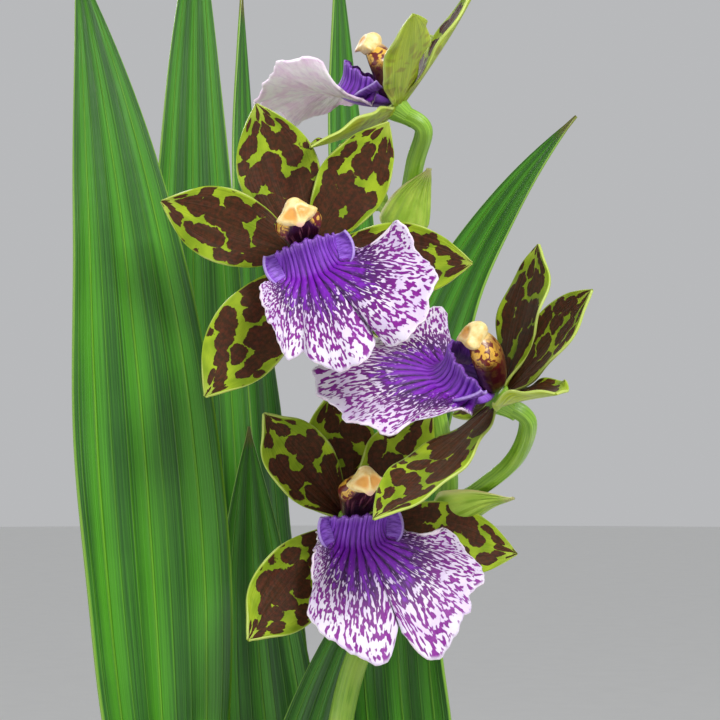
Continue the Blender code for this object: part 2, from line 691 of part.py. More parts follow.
def ear_point(spec, hand):
    """A small rounded side lobe that curls outwards beside the crest."""
    frame = lip_frame(spec)
    middle = spec["crest"][0] + 0.0024

    def point_at(u, v):
        half = 0.0030 * math.sin(math.pi * (0.20 + 0.70 * u)) ** 0.7
        reach = 0.0072 * u
        across, rise = arc_section(half, 0.9, v)
        x = 0.0062 + reach * math.cos(0.7 * u)
        z = 0.0012 + reach * 0.55 + rise * 0.5 - 0.0014 * u**3
        return frame @ Vector((hand * x, middle - across, z))

    return point_at


def build_lip(bloom, material, collection):
    """The lip with its ribbed crest, two side lobes and the foot that joins it to the column."""
    spec = BLOOMS[bloom]
    frame = lip_frame(spec)
    lip = sheet(f"{bloom}_lip", lip_point(spec), LIP_ROWS, LIP_COLUMNS, LIP_THICKNESS, material, collection)
    ears = []
    for hand in (-1, 1):
        ears.append(sheet(f"ear {hand}", ear_point(spec, hand), 4, 2, LIP_THICKNESS, material, collection))
    foot_front = sum(spec["crest"]) + 0.0010
    foot_middle = (foot_front + FOOT_BACK) / 2

    def foot_point(direction):
        y = foot_middle + direction.y * (foot_front - foot_middle)
        return frame @ Vector((direction.x * 0.0074, y, 0.0014 + direction.z * 0.0020))

    foot = ball("foot", foot_point, 10, 6, material, collection)
    lip = fuse(lip, [*ears, foot])
    seats = [build(bloom, material, collection, grow=GAP) for build in (build_column_body, build_cap)]
    return cut(lip, seats)


def column_point(spec, grow):
    """The column: a short arched stalk, hollowed along its front, with small wings near its top."""
    frame = pitched_frame(spec, COLUMN_PITCH)

    def point_at(direction):
        t = (1 + direction.z) / 2
        around = math.atan2(direction.x, direction.y)
        waist = max(0.0, 1 - direction.z**2) ** (0.32 if direction.z < 0 else 0.45)
        wings = 1.0 + 0.32 * math.exp(-(((t - 0.66) / 0.18) ** 2))
        hollow = 0.42 * math.exp(-((around / 0.75) ** 2)) * math.sin(math.pi * min(1.0, 0.12 + t))
        across = (COLUMN_HALF_WIDTH * (0.78 + 0.1 * t) * wings + grow) * waist * math.sin(around)
        along = (COLUMN_HALF_DEPTH + grow) * waist * math.cos(around) * (1 - hollow)
        y = 0.0014 + 0.0018 * t**2 + along
        z = 0.0024 - grow + (COLUMN_HEIGHT + 2 * grow) * t
        return frame @ Vector((across, y, z))

    return point_at


def build_column_body(bloom, material, collection, grow=0.0):
    return ball(f"{bloom}_column", column_point(BLOOMS[bloom], grow), 12, 8, material, collection)


def build_cap(bloom, material, collection, grow=0.0):
    """The anther cap: a small hood on the column's tip, with a beak."""
    frame = pitched_frame(BLOOMS[bloom], COLUMN_PITCH)
    y, z = CAP_CENTRE
    along, across, high = CAP_RADII

    def point_at(direction):
        beak = 0.0011 * max(0.0, direction.y * 0.8 - direction.z * 0.5) ** 4
        return frame @ Vector((
            direction.x * (across + grow) * (1 - 0.25 * direction.z),
            y + direction.y * (along + grow) + beak,
            z + direction.z * (high + grow) - beak,
        ))

    return ball(f"{bloom}_anther_cap", point_at, 10, 6, material, collection)


def build_column(bloom, material, collection):
    column = build_column_body(bloom, material, collection)
    return cut(column, [build_cap(bloom, material, collection, grow=GAP)])


def wrap_point(root, heading, face, length, radius, open_root, open_tip):
    """A sheathing bract: an arched blade round a stem that runs from root along heading."""
    heading = heading.normalized()
    face = (face - heading * face.dot(heading)).normalized()
    side = heading.cross(face)

    def point_at(u, v):
        half_angle = mix(open_root, open_tip, u)
        swell = mix(0.45 * radius, radius, min(1.0, 4 * u)) * max(0.16, 1 - u**2.8)
        turn = half_angle * v
        out = face * math.cos(turn) + side * math.sin(turn)
        centre = face * (0.8 * (radius - swell) * smooth_step(0.4, 1.0, u) + 0.0012 * u**2)
        return root + heading * (length * u) + centre + out * swell

    return point_at


def pedicel_path(bloom):
    """From its node on the stalk to the back of its bloom."""
    spec = BLOOMS[bloom]
    frame = bloom_frame(spec)
    bends = [Vector(point) for point in spec["bends"]]
    arrive = frame @ Vector((0, RECEPTACLE_BACK + 0.0030, 0))
    end = frame @ Vector((0, RECEPTACLE_BACK * 0.4, 0))
    return [Vector(STALK[spec["node"]][0]), *bends, arrive, end]


def build_spike(material, collection):
    """The whole flower stalk as one grown piece: stem, sheaths, bracts, flower stalks and end bud."""
    points = [Vector(point) for point, _ in STALK]
    path, radii = smooth_path(points, [radius for _, radius in STALK], 3)
    stem = tube("flower_spike", path, radii, STALK_SIDES, material, collection)
    grown = []
    for i, height in enumerate(SHEATH_HEIGHTS):
        k = min(range(len(path)), key=lambda n: abs(path[n].z - height))
        turn = 2.4 * i + 0.6
        face = Vector((math.cos(turn), math.sin(turn), 0))
        wrap = wrap_point(path[k], path[k + 2] - path[k], face, SHEATH_LENGTH, SHEATH_RADIUS, 2.5, 0.9)
        grown.append(sheet(f"sheath {i}", wrap, 4, 6, 0.0010, material, collection))
    for bloom in BLOOMS:
        route = pedicel_path(bloom)
        widest = PEDICEL_BELLY_RADIUS
        radii = (PEDICEL_ROOT_RADIUS, widest * 0.92, widest, PEDICEL_NECK_RADIUS, 0.0018)
        smooth, sizes = smooth_path(route, radii, 2)
        grown.append(tube(f"{bloom} stalk", smooth, sizes, 6, material, collection))
        heading = route[1] - route[0]
        root = route[0] - heading.normalized() * 0.0015
        wrap = wrap_point(root, heading, Vector(BLOOMS[bloom]["bract"]), BRACT_LENGTH, BRACT_RADIUS, 2.0, 0.8)
        grown.append(sheet(f"{bloom} bract", wrap, 4, 6, 0.0010, material, collection))
    tip_heading = (points[-1] - points[-2]).normalized()
    rotate = tip_heading.to_track_quat("Z", "Y").to_matrix()

    def bud_point(direction):
        plump = BUD_RADIUS * (1 - 0.35 * direction.z)
        local = Vector((direction.x * plump, direction.y * plump, direction.z * BUD_LENGTH / 2))
        return points[-1] + tip_heading * BUD_LENGTH * 0.3 + rotate @ local

    grown.append(ball("end bud", bud_point, 8, 6, material, collection))
    spike = fuse(stem, grown)
    seats = []
    for bloom in BLOOMS:
        frame = bloom_frame(BLOOMS[bloom])
        shape = bmesh.new()
        reach = RECEPTACLE_BACK + GAP
        bmesh.ops.create_cone(
            shape, cap_ends=True, segments=12, radius1=0.0060, radius2=0.0060, depth=2 * reach
        )
        shape.transform(frame @ Matrix.Rotation(math.pi / 2, 4, "X"))
        mesh = bpy.data.meshes.new("seat")
        shape.to_mesh(mesh)
        shape.free()
        seats.append(place("seat", mesh, material, collection))
    return cut(spike, seats)


def main():
    clear_scene()
    plant = new_collection("zygopetalum orchid")
    clay = make_material("terracotta", (0.52, 0.24, 0.14), 0.85)
    bark = make_material("bark", (0.20, 0.11, 0.06), 0.95)
    bulb = make_material("bulb green", (0.22, 0.36, 0.08), 0.5)
    leaf = make_material("leaf green", (0.10, 0.30, 0.04), 0.45)
    stalk = make_material("stalk green", (0.36, 0.52, 0.06), 0.45)
    tepal = make_material("blotched tepal", (0.32, 0.25, 0.06), 0.5)
    lip = make_material("veined lip", (0.62, 0.34, 0.72), 0.5)
    column = make_material("column maroon", (0.35, 0.12, 0.06), 0.4)
    cap = make_material("cap cream", (0.85, 0.62, 0.30), 0.4)

    build_pot(clay, plant)
    for name in BULBS:
        build_bulb(name, bulb, plant)
    homes = {1: (1, 2, 3, 4), 2: (5, 6, 7, 8), 3: (9, 10, 11)}
    for home, leaves in homes.items():
        for number in leaves:
            build_leaf(f"leaf_{number}", leaf, plant, f"pseudobulb_{home}")
    for bloom in BLOOMS:
        build_tepals(bloom, tepal, plant)
        build_lip(bloom, lip, plant)
        build_column(bloom, column, plant)
        build_cap(bloom, cap, plant)
    build_spike(stalk, plant)
    filling = build_bark(bark, plant)
    holes = [build_bulb(name, bulb, plant, grow=GAP) for name in BULBS]
    stem_foot = Vector(STALK[0][0])
    bpy.ops.mesh.primitive_cylinder_add(
        vertices=12, radius=STALK[0][1] + 2 * GAP, depth=0.040, location=stem_foot + Vector((0, 0, 0.0196))
    )
    cut(filling, [*holes, bpy.context.object])


main()
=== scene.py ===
"""A zygopetalum orchid in flower in a clay pot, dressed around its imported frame."""

import math

import bmesh
import bpy
from mathutils import Matrix, Vector


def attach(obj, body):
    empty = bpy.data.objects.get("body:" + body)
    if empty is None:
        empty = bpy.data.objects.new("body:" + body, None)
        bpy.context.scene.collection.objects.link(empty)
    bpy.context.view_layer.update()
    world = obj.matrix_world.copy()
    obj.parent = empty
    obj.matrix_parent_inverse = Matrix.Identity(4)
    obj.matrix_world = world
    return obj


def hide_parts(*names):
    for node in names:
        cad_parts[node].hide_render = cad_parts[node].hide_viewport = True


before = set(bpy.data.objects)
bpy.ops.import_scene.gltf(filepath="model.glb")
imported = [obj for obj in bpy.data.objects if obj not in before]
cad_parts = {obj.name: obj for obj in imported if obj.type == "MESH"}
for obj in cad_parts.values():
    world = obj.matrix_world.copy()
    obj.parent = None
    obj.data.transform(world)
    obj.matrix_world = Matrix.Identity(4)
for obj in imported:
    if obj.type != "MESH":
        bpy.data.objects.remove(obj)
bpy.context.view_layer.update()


# The pot
# A tapered flowerpot of plain fired clay with a thick collar, thrown on a wheel and left unglazed.
# The plant stands in it on bark, and water leaves by four holes in its floor.

pot_height = 0.115
pot_base_radius = 0.046
pot_top_radius = 0.060
pot_wall = 0.0045
pot_floor = 0.006
collar_height = 0.020
collar_radius = 0.0655
drain_radius = 0.004
drain_ring = 0.026
drain_count = 4
pot_rounding = 0.0016
foot_rounding = 0.0012


def colour(red, green, blue):
    """A colour as a screen shows it, from 0 to 255, as the linear values that a shader takes."""
    parts = [part / 255 for part in (red, green, blue)]
    return (*(p / 12.92 if p < 0.04045 else ((p + 0.055) / 1.055) ** 2.4 for p in parts), 1.0)


def arithmetic(operation, swapped=False):
    """An operator of a wire, which writes a math node."""

    def write(self, other):
        return self.math(operation, *((other, self) if swapped else (self, other)))

    return write


class Wire:
    """One socket of a node tree, which reads as a number in an expression."""

    __add__, __radd__ = arithmetic("ADD"), arithmetic("ADD", swapped=True)
    __sub__, __rsub__ = arithmetic("SUBTRACT"), arithmetic("SUBTRACT", swapped=True)
    __mul__, __truediv__, __pow__ = arithmetic("MULTIPLY"), arithmetic("DIVIDE"), arithmetic("POWER")

    def __init__(self, recipe, socket):
        self.recipe = recipe
        self.socket = socket

    def math(self, operation, *values):
        return self.recipe.node("ShaderNodeMath", {"operation": operation}, values)

    def __abs__(self):
        return self.math("ABSOLUTE", self)

    def cos(self):
        return self.math("COSINE", self)

    def largest(self, other):
        return self.math("MAXIMUM", self, other)

    def rise(self, low, high):
        """0 below low and 1 above high, with a smooth step between them."""
        smooth = {"interpolation_type": "SMOOTHSTEP"}
        return self.recipe.node("ShaderNodeMapRange", smooth, (self, low, high, 0, 1))

    def fall(self, low, high):
        return 1 - self.rise(low, high)


class Recipe:
    """A node tree being written: a material's, or a geometry group's."""

    def __init__(self, tree):
        self.tree = tree

    def node(self, kind, settings=None, inputs=(), output=0):
        made = self.tree.nodes.new(kind)
        for key, value in (settings or {}).items():
            setattr(made, key, value)
        for key, value in inputs.items() if isinstance(inputs, dict) else enumerate(inputs):
            if isinstance(value, Wire):
                self.tree.links.new(value.socket, made.inputs[key])
            else:
                made.inputs[key].default_value = value
        return Wire(self, made.outputs[output])

    def blend(self, share, low, high):
        """From low to high as share goes from 0 to 1. Each is a wire, or a colour as a screen shows it."""
        low, high = (end if isinstance(end, Wire) else colour(*end) for end in (low, high))
        return self.node("ShaderNodeMix", {"data_type": "RGBA"}, {0: share, 6: low, 7: high}, 2)

    def noise(self, where, scale, detail=2.0, roughness=0.5, warp=0.0):
        return self.node("ShaderNodeTexNoise", None, {
            "Vector": where, "Scale": scale, "Detail": detail, "Roughness": roughness, "Distortion": warp,
        })

    def cells(self, where, scale, **settings):
        return self.node("ShaderNodeTexVoronoi", settings, {"Vector": where, "Scale": scale})

    def vector(self, x, y, z=0.0):
        return self.node("ShaderNodeCombineXYZ", None, (x, y, z))

    def streaks(self, x, y, z=0.0, detail=2.0, roughness=0.5):
        """Noise over coordinates that are stretched already."""
        return self.noise(self.vector(x, y, z), 1.0, detail, roughness)

    def part(self, vector, axis):
        return self.node("ShaderNodeSeparateXYZ", None, (vector,), axis)

    def place(self):
        return self.node("ShaderNodeTexCoord", output="Object")

    def uv(self, name):
        return self.node("ShaderNodeUVMap", {"uv_map": name})

    def both(self, name):
        """The two values of a UV map."""
        pair = self.uv(name)
        return self.part(pair, 0), self.part(pair, 1)


class Finish(Recipe):
    """One material. Its fixed shader values are given first, and its patterns are wired in at the end.

    coat is its weight and roughness. glow is how much light passes under the skin, its tint and its reach.
    """

    names = (
        "Roughness", "Specular IOR Level", "Coat Weight", "Coat Roughness",
        "Subsurface Weight", "Subsurface Radius", "Subsurface Scale",
    )

    def __init__(self, name, roughness=0.5, specular=0.5, coat=(0, 0.03), glow=(0, (1.0, 0.2, 0.1), 0.05)):
        self.material = bpy.data.materials.new(name)
        self.material.use_nodes = True
        super().__init__(self.material.node_tree)
        self.shader = self.tree.nodes["Principled BSDF"]
        for key, value in zip(self.names, (roughness, specular, *coat, *glow)):
            self.shader.inputs[key].default_value = value

    def finished(self, body, roughness=None, height=None, depth=0.0):
        """The material with its colour and, where given, its roughness and a relief depth metres deep."""
        wires = {"Base Color": body, "Roughness": roughness}
        if height:
            wires["Normal"] = self.node(
                "ShaderNodeBump", None, {"Strength": 1.0, "Distance": depth, "Height": height}
            )
        for name, wire in wires.items():
            if wire:
                self.tree.links.new(wire.socket, self.shader.inputs[name])
        return self.material


def plain_piece(name, shape, materials):
    """The object of a finished bmesh, smooth, at the origin, with its materials."""
    mesh = bpy.data.meshes.new(name)
    shape.to_mesh(mesh)
    shape.free()
    for material in materials:
        mesh.materials.append(material)
    mesh.shade_smooth()
    piece = bpy.data.objects.new(name, mesh)
    bpy.context.scene.collection.objects.link(piece)
    return piece


def settled(piece):
    """Turns what the piece's modifiers make into its own plain mesh."""
    bpy.context.view_layer.update()
    mesh = bpy.data.meshes.new_from_object(piece.evaluated_get(bpy.context.evaluated_depsgraph_get()))
    piece.modifiers.clear()
    piece.data = mesh
    return piece


def dress(piece, node):
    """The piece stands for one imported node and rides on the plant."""
    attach(piece, "root")
    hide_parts(node)


def mix(low, high, share):
    return low + (high - low) * share


def smooth_step(low, high, x):
    share = min(1.0, max(0.0, (x - low) / (high - low)))
    return share * share * (3 - 2 * share)


def turned(name, profile, steps, material):
    """A body turned about the pot's axis from (radius, height) points."""
    shape = bmesh.new()
    verts = [shape.verts.new((radius, 0.0, height)) for radius, height in profile]
    edges = [shape.edges.new(pair) for pair in zip(verts, verts[1:])]
    bmesh.ops.spin(
        shape, geom=verts + edges, cent=(0, 0, 0), axis=(0, 0, 1), angle=math.tau, steps=steps, use_merge=True
    )
    bmesh.ops.remove_doubles(shape, verts=shape.verts, dist=1e-6)
    bmesh.ops.recalc_face_normals(shape, faces=shape.faces)
    return plain_piece(name, shape, [material])


def pot_inner_radius(height):
    return mix(pot_base_radius, pot_top_radius, height / pot_height) - pot_wall


def fired_clay():
    """Terracotta: turning marks, mineral bloom in pale clouds, darker damp clay towards the foot."""
    clay = Finish("fired clay")
    where = clay.place()
    height = clay.part(where, 2)
    clouds = clay.noise(where, 38, 5, 0.6, 0.4)
    grit = clay.noise(where, 1400, 2)
    specks = clay.noise(where, 420, 1)
    rings = (height * 2600 + clay.noise(where, 60) * 5).cos()
    body = clay.blend(clouds.rise(0.3, 0.7), (170, 92, 58), (192, 116, 78))
    bloom = (clouds * 0.7 + specks * 0.3).rise(0.54, 0.72) * 0.55
    body = clay.blend(bloom, body, (214, 184, 160))
    damp = (height + clouds * 0.02).fall(0.012, 0.040) * 0.45
    body = clay.blend(damp, body, (112, 62, 40))
    body = clay.blend(specks.rise(0.66, 0.72) * 0.6, body, (96, 54, 38))
    return clay.finished(body, 0.95 - damp * 0.35, grit * 0.5 + rings * 0.12 + specks * 0.3, 0.0004)


def pot_profile():
    """The outline from the mouth down the outside and back up the inside, with rounded edges."""
    shoulder = pot_height - collar_height
    shoulder_radius = mix(pot_base_radius, pot_top_radius, shoulder / pot_height)
    inner_mouth = pot_inner_radius(pot_height) + 0.001
    rim = pot_rounding

    def corner(radius, height, size, start):
        """A quarter turn clockwise."""
        turns = (math.radians(start - 90 * i / 5) for i in range(6))
        return [(radius + size * math.cos(turn), height + size * math.sin(turn)) for turn in turns]

    return [
        *corner(inner_mouth + rim, pot_height - rim, rim, 180),
        *corner(collar_radius - rim, pot_height - rim, rim, 90),
        *corner(collar_radius - 0.0015 - rim, shoulder + rim, rim * 0.8, 0),
        (shoulder_radius + 0.0004, shoulder + 0.0002), (shoulder_radius, shoulder - 0.001),
        *[
            (mix(shoulder_radius, pot_base_radius + 0.0006, i / 8), mix(shoulder, 0.003, i / 8))
            for i in range(1, 9)
        ],
        *corner(pot_base_radius - 0.0009, foot_rounding, foot_rounding, 0),
        (drain_ring + 0.012, 0.0), (drain_ring - 0.012, 0.0), (0.0, 0.0),
        (0.0, pot_floor), (pot_inner_radius(pot_floor) - 0.002, pot_floor),
        (pot_inner_radius(pot_floor), pot_floor + 0.002),
        (pot_inner_radius(pot_height) - 0.0004, pot_height - 0.006), (inner_mouth, pot_height - rim),
    ]


clay_finish = fired_clay()
pot = turned("clay_pot", pot_profile(), 144, clay_finish)
drills = []
for number in range(drain_count):
    turn = math.tau * (number + 0.5) / drain_count
    place = (drain_ring * math.cos(turn), drain_ring * math.sin(turn), 0)
    drill = bmesh.new()
    bmesh.ops.create_cone(
        drill, cap_ends=True, segments=32, radius1=drain_radius, radius2=drain_radius, depth=4 * pot_floor,
        matrix=Matrix.Translation(place),
    )
    drills.append(plain_piece("drain drill", drill, [clay_finish]))
for drill in drills:
    hole = pot.modifiers.new("Drain hole", "BOOLEAN")
    hole.operation = "DIFFERENCE"
    hole.object = drill
settled(pot)
for drill in drills:
    bpy.data.objects.remove(drill)
dress(pot, "pot")


# The potting bark
# Pine bark broken into chips, packed loosely round the roots, with a layer of tumbled chips on top.
# The chips lie in all directions, so they are strewn by a rule over the filling's top.

bark_level = 0.101
chip_size = (0.0135, 0.0085, 0.0042)
chip_spacing = 0.0048
chip_seed = 11
chip_lift = 0.0040
chip_roughening = 0.0034
chips_inset = 0.0075
bark_clearance = 0.0003


def broken_bark():
    """Weathered bark: red-brown layers split along the grain, grey on old faces."""
    bark = Finish("broken bark", roughness=0.9)
    where = bark.place()
    grain = bark.noise(where, 260, 6, 0.65, 1.2)
    patches = bark.noise(where, 90, 3)
    body = bark.blend(grain.rise(0.3, 0.7), (58, 34, 22), (122, 78, 50))
    body = bark.blend(patches.rise(0.52, 0.66) * 0.6, body, (140, 108, 84))
    body = bark.blend(patches.fall(0.32, 0.42) * 0.7, body, (44, 26, 20))
    return bark.finished(body, None, grain + patches * 0.6, 0.0012)


def geometry_group(name, kinds):
    """The recipe of a new geometry nodes group, and its inputs as wires. kinds gives each input's kind."""
    tree = bpy.data.node_groups.new(name, "GeometryNodeTree")
    for label, kind in kinds.items():
        tree.interface.new_socket(label, in_out="INPUT", socket_type="NodeSocket" + kind)
    tree.interface.new_socket("Shape", in_out="OUTPUT", socket_type="NodeSocketGeometry")
    recipe = Recipe(tree)
    given = tree.nodes.new("NodeGroupInput")
    return recipe, {socket.name: Wire(recipe, socket) for socket in given.outputs if socket.name}


def group_result(recipe, shape):
    """Ends a geometry nodes group with that shape."""
    end = recipe.tree.nodes.new("NodeGroupOutput")
    recipe.tree.links.new(shape.socket, end.inputs[0])
    return recipe.tree


def strewn_chips():
    """Geometry nodes that strew boxes over a surface, turn and scale each by chance, and roughen them."""
    r, want = geometry_group("strewn chips", {
        "Ground": "Geometry", "Spacing": "Float", "Lift": "Float", "Roughening": "Float",
        "Chip size": "Vector", "Seed": "Int", "Material": "Material",
    })
    points = r.node("GeometryNodeDistributePointsOnFaces", {"distribute_method": "POISSON"}, {
        "Mesh": want["Ground"], "Distance Min": want["Spacing"], "Density Max": 60000.0, "Seed": want["Seed"],
    })
    box = r.node("GeometryNodeMeshCube", None, {
        "Size": want["Chip size"], "Vertices X": 6, "Vertices Y": 5, "Vertices Z": 3,
    })
    turn, scale = (
        r.node("FunctionNodeRandomValue", {"data_type": "FLOAT_VECTOR"}, {
            "Min": low, "Max": high, "Seed": want["Seed"],
        })
        for low, high in (((-0.5, -0.45, 0.0), (0.5, 0.45, math.tau)), ((0.55, 0.6, 0.6), (1.2, 1.25, 1.5)))
    )
    lift = r.node("FunctionNodeRandomValue", {"data_type": "FLOAT"}, {
        2: 0.0, 3: want["Lift"], "Seed": want["Seed"],
    }, 1)
    raised = r.node("GeometryNodeSetPosition", None, {"Geometry": points, "Offset": r.vector(0.0, 0.0, lift)})
    strewn = r.node("GeometryNodeInstanceOnPoints", None, {
        "Points": raised, "Instance": box, "Rotation": turn, "Scale": scale,
    })
    real = r.node("GeometryNodeRealizeInstances", None, {"Geometry": strewn})
    here = r.node("GeometryNodeInputPosition")
    lumps = r.node("ShaderNodeTexNoise", None, {"Vector": here, "Scale": 240.0, "Detail": 3.0}, 1)
    centred = r.node("ShaderNodeVectorMath", {"operation": "SUBTRACT"}, {0: lumps, 1: (0.5, 0.5, 0.5)})
    push = r.node("ShaderNodeVectorMath", {"operation": "SCALE"}, {0: centred, "Scale": want["Roughening"]})
    rough = r.node("GeometryNodeSetPosition", None, {"Geometry": real, "Offset": push})
    return group_result(
        r, r.node("GeometryNodeSetMaterial", None, {"Geometry": rough, "Material": want["Material"]})
    )


def grow(piece, tree, **values):
    """Gives the piece a geometry nodes modifier with these inputs."""
    modifier = piece.modifiers.new(tree.name, "NODES")
    modifier.node_group = tree
    names = {item.name: item.identifier for item in tree.interface.items_tree if item.in_out == "INPUT"}
    for name, value in values.items():
        modifier[names[name.replace("_", " ").capitalize()]] = value


def joined(name, pieces):
    """One object of several, which keeps their materials and UV maps."""
    with bpy.context.temp_override(active_object=pieces[0], selected_editable_objects=pieces):
        bpy.ops.object.join()
    pieces[0].name = name
    return pieces[0]


bark_finish = broken_bark()
plug_radius = pot_inner_radius(bark_level) - bark_clearance
filling = turned("bark filling", [
    (0.0, bark_level - 0.001), (plug_radius - 0.003, bark_level - 0.001), (plug_radius, bark_level - 0.003),
    (pot_inner_radius(pot_floor) - bark_clearance, pot_floor + bark_clearance),
    (0.0, pot_floor + bark_clearance),
], 96, bark_finish)
ground = bmesh.new()
bmesh.ops.create_circle(
    ground, cap_ends=True, segments=48, radius=plug_radius - chips_inset,
    matrix=Matrix.Translation((0, 0, bark_level - 0.001)),
)
chips = plain_piece("bark chips", ground, [bark_finish])
grow(
    chips, strewn_chips(), spacing=chip_spacing, lift=chip_lift, roughening=chip_roughening,
    chip_size=chip_size, seed=chip_seed, material=bark_finish,
)
bark = joined("bark_chips", [filling, settled(chips)])
dress(bark, "potting_bark")


# The pseudobulbs
# Swollen green stems that store water, each an egg shape with shallow upright ribs and a smooth waxy skin.
# They stand side by side on the bark, half hidden by it, and carry the leaves.

bulb_half_width = 0.0150
bulb_half_depth = 0.0115
bulb_half_height = 0.0290
bulb_ribs = 7
bulb_rib_depth = 0.035
bulb_mesh = (84, 60)
bulbs = {
    "pseudobulb_1": (Vector((-0.027, 0.006, 0.1190)), -7.0, 0.96),
    "pseudobulb_2": (Vector((0.003, 0.013, 0.1200)), 0.0, 1.0),
    "pseudobulb_3": (Vector((0.033, 0.005, 0.1170)), 8.0, 0.88),
}


def ball(name, point_at, around, along, materials, mark=None):
    """A closed rounded body: a sphere moved to point_at(direction). mark(direction) is kept in its UV map."""
    shape = bmesh.new()
    bmesh.ops.create_uvsphere(shape, u_segments=around, v_segments=along, radius=1.0)
    share = shape.loops.layers.uv.new("share")
    marks = {vert: mark(vert.co) if mark else (0.0, 0.0) for vert in shape.verts}
    for face in shape.faces:
        for loop in face.loops:
            loop[share].uv = marks[loop.vert]
    for vert in shape.verts:
        vert.co = point_at(vert.co.copy())
    bmesh.ops.recalc_face_normals(shape, faces=shape.faces)
    return plain_piece(name, shape, materials)


def bulb_skin():
    """Waxy green skin with fine upright lines, yellower between the ribs and brown at scars."""
    skin = Finish("bulb skin", coat=(0.12, 0.3))
    where = skin.place()
    x, y, z = (skin.part(where, axis) for axis in range(3))
    lines = skin.streaks(x * 900, y * 900, z * 45, 3, 0.6)
    patches = skin.noise(where, 85, 3, 0.5, 0.5)
    body = skin.blend(lines.rise(0.35, 0.65), (88, 122, 34), (128, 156, 58))
    body = skin.blend(patches.rise(0.5, 0.7) * 0.5, body, (160, 168, 78))
    scars = skin.noise(where, 300, 2).rise(0.68, 0.74) * patches.rise(0.45, 0.6)
    body = skin.blend(scars, body, (110, 78, 42))
    foot = (z + patches * 0.012).fall(0.104, 0.116) * 0.8
    body = skin.blend(foot, body, (120, 92, 52))
    return skin.finished(body, 0.40 + foot * 0.35 + lines * 0.1, lines + scars * 0.5, 0.0003)


def bulb_point(spec):
    centre, tilt, size = spec
    turn = Matrix.Rotation(math.radians(tilt), 3, "Y")

    def point_at(direction):
        belly = 1.0 - 0.22 * direction.z - 0.10 * max(0.0, direction.z) ** 3
        around = math.atan2(direction.y, direction.x)
        ribs = math.cos(bulb_ribs * around) + 0.25 * math.cos(2 * bulb_ribs * around + 0.7)
        belly *= 1.0 + bulb_rib_depth * ribs * (1 - direction.z**2)
        local = Vector((
            direction.x * belly * bulb_half_width * size,
            direction.y * belly * bulb_half_depth * size,
            direction.z * bulb_half_height * size,
        ))
        return centre + turn @ local

    return point_at


bulb_finish = bulb_skin()
for node, spec in bulbs.items():
    bulb = ball(node + "_green", bulb_point(spec), *bulb_mesh, [bulb_finish])
    dress(bulb, node)


# The leaves
# Long thin straps, pleated along their length, folded at the neck where they leave the pseudobulb
# and opening towards a fine point. Pale veins run from end to end, and the edge is a pale line.

leaf_thickness = 0.0006
leaf_pleat = 0.0005
leaf_neck = 0.27
leaf_fold_root = 1.25
leaf_fold_tip = 0.30
leaf_mesh = (96, 36)
leaf_reach = 0.36
leaf_shift = 0.31
leaf_edge_wave = 0.0007
leaf_veins = 3
# For each leaf: four points that steer its spine and its full width, in millimetres, then the ways that its
# face looks at the root and at the tip.
leaves = (
    ((-34, 3, 130), (-62, -4, 238), (-48, -16, 366), (-75, -10, 480), 38, (0.9, 0.2, 0.3), (0.3, -0.95, 0.1)),
    ((-27, 9, 138), (-42, 30, 235), (-55, 44, 380), (-50, 48, 505), 28, (0.4, -0.9, 0.2), (0.25, -0.95, 0.1)),
    ((-20, 12, 130), (-20, 44, 225), (-42, 66, 345), (-40, 74, 484), 25, (0.2, -0.95, 0.2), (0.85, -0.5, 0.1)),
    ((-28, 4, 118), (-58, -36, 180), (-92, -66, 252), (-136, -98, 216), 31, (0.6, 0.5, 0.6), (0.3, 0.25, 0.9)),
    ((2, 15, 140), (0, 40, 235), (-12, 52, 360), (-15, 56, 494), 26, (0.1, -0.95, 0.2), (0.75, -0.65, 0.1)),
    ((-3, 16, 122), (-17, 21, 190), (-36, 22, 290), (-36, 21, 371), 31, (0.9, 0.1, 0.3), (0.1, -1.0, 0.1)),
    ((2, 6, 114), (-22, -10, 175), (-50, 1, 268), (2, 17, 347), 22, (0.6, 0.6, 0.4), (-0.3, -0.9, 0.3)),
    ((4, 15, 136), (6, 66, 240), (-8, 104, 312), (-32, 152, 268), 33, (0.0, -0.8, 0.6), (0.1, -0.4, 0.9)),
    ((34, 7, 136), (16, 24, 240), (-38, 27, 360), (44, 30, 447), 28, (-0.4, -0.9, 0.2), (-0.55, -0.8, 0.2)),
    ((35, 4, 122), (74, -4, 214), (112, -12, 296), (164, -24, 244), 33, (-0.7, 0.0, 0.7), (-0.3, 0.0, 0.95)),
    ((34, 2, 112), (50, -42, 172), (72, -84, 236), (98, -124, 196), 29, (-0.3, 0.6, 0.7), (-0.2, 0.3, 0.9)),
)


def blade_relief():
    """Geometry nodes that press veins and waves into a blade, by how far along and across each point is."""
    sizes = ("Veins", "Vein height", "Edge waves", "Edge wave height", "Tip waves", "Tip wave height")
    r, want = geometry_group("blade relief", {"Blade": "Geometry", **dict.fromkeys(sizes, "Float")})
    along, across = (
        r.node("GeometryNodeInputNamedAttribute", {"data_type": "FLOAT"}, {"Name": name})
        for name in ("along", "across")
    )
    veins = (across * want["Veins"] * math.pi).cos() * want["Vein height"] * along.fall(0.55, 1.0)
    edge = (along * want["Edge waves"] * math.tau).cos() * want["Edge wave height"] * abs(across) ** 4
    edge = edge * along.fall(0.80, 0.98)
    tip = (across * want["Tip waves"] * math.tau + 0.6).cos() * want["Tip wave height"] * along ** 3
    normal = r.node("GeometryNodeInputNormal")
    push = r.node("ShaderNodeVectorMath", {"operation": "SCALE"}, {0: normal, "Scale": veins + edge + tip})
    moved = r.node("GeometryNodeSetPosition", None, {"Geometry": want["Blade"], "Offset": push})
    return group_result(r, moved)


relief_tree = blade_relief()


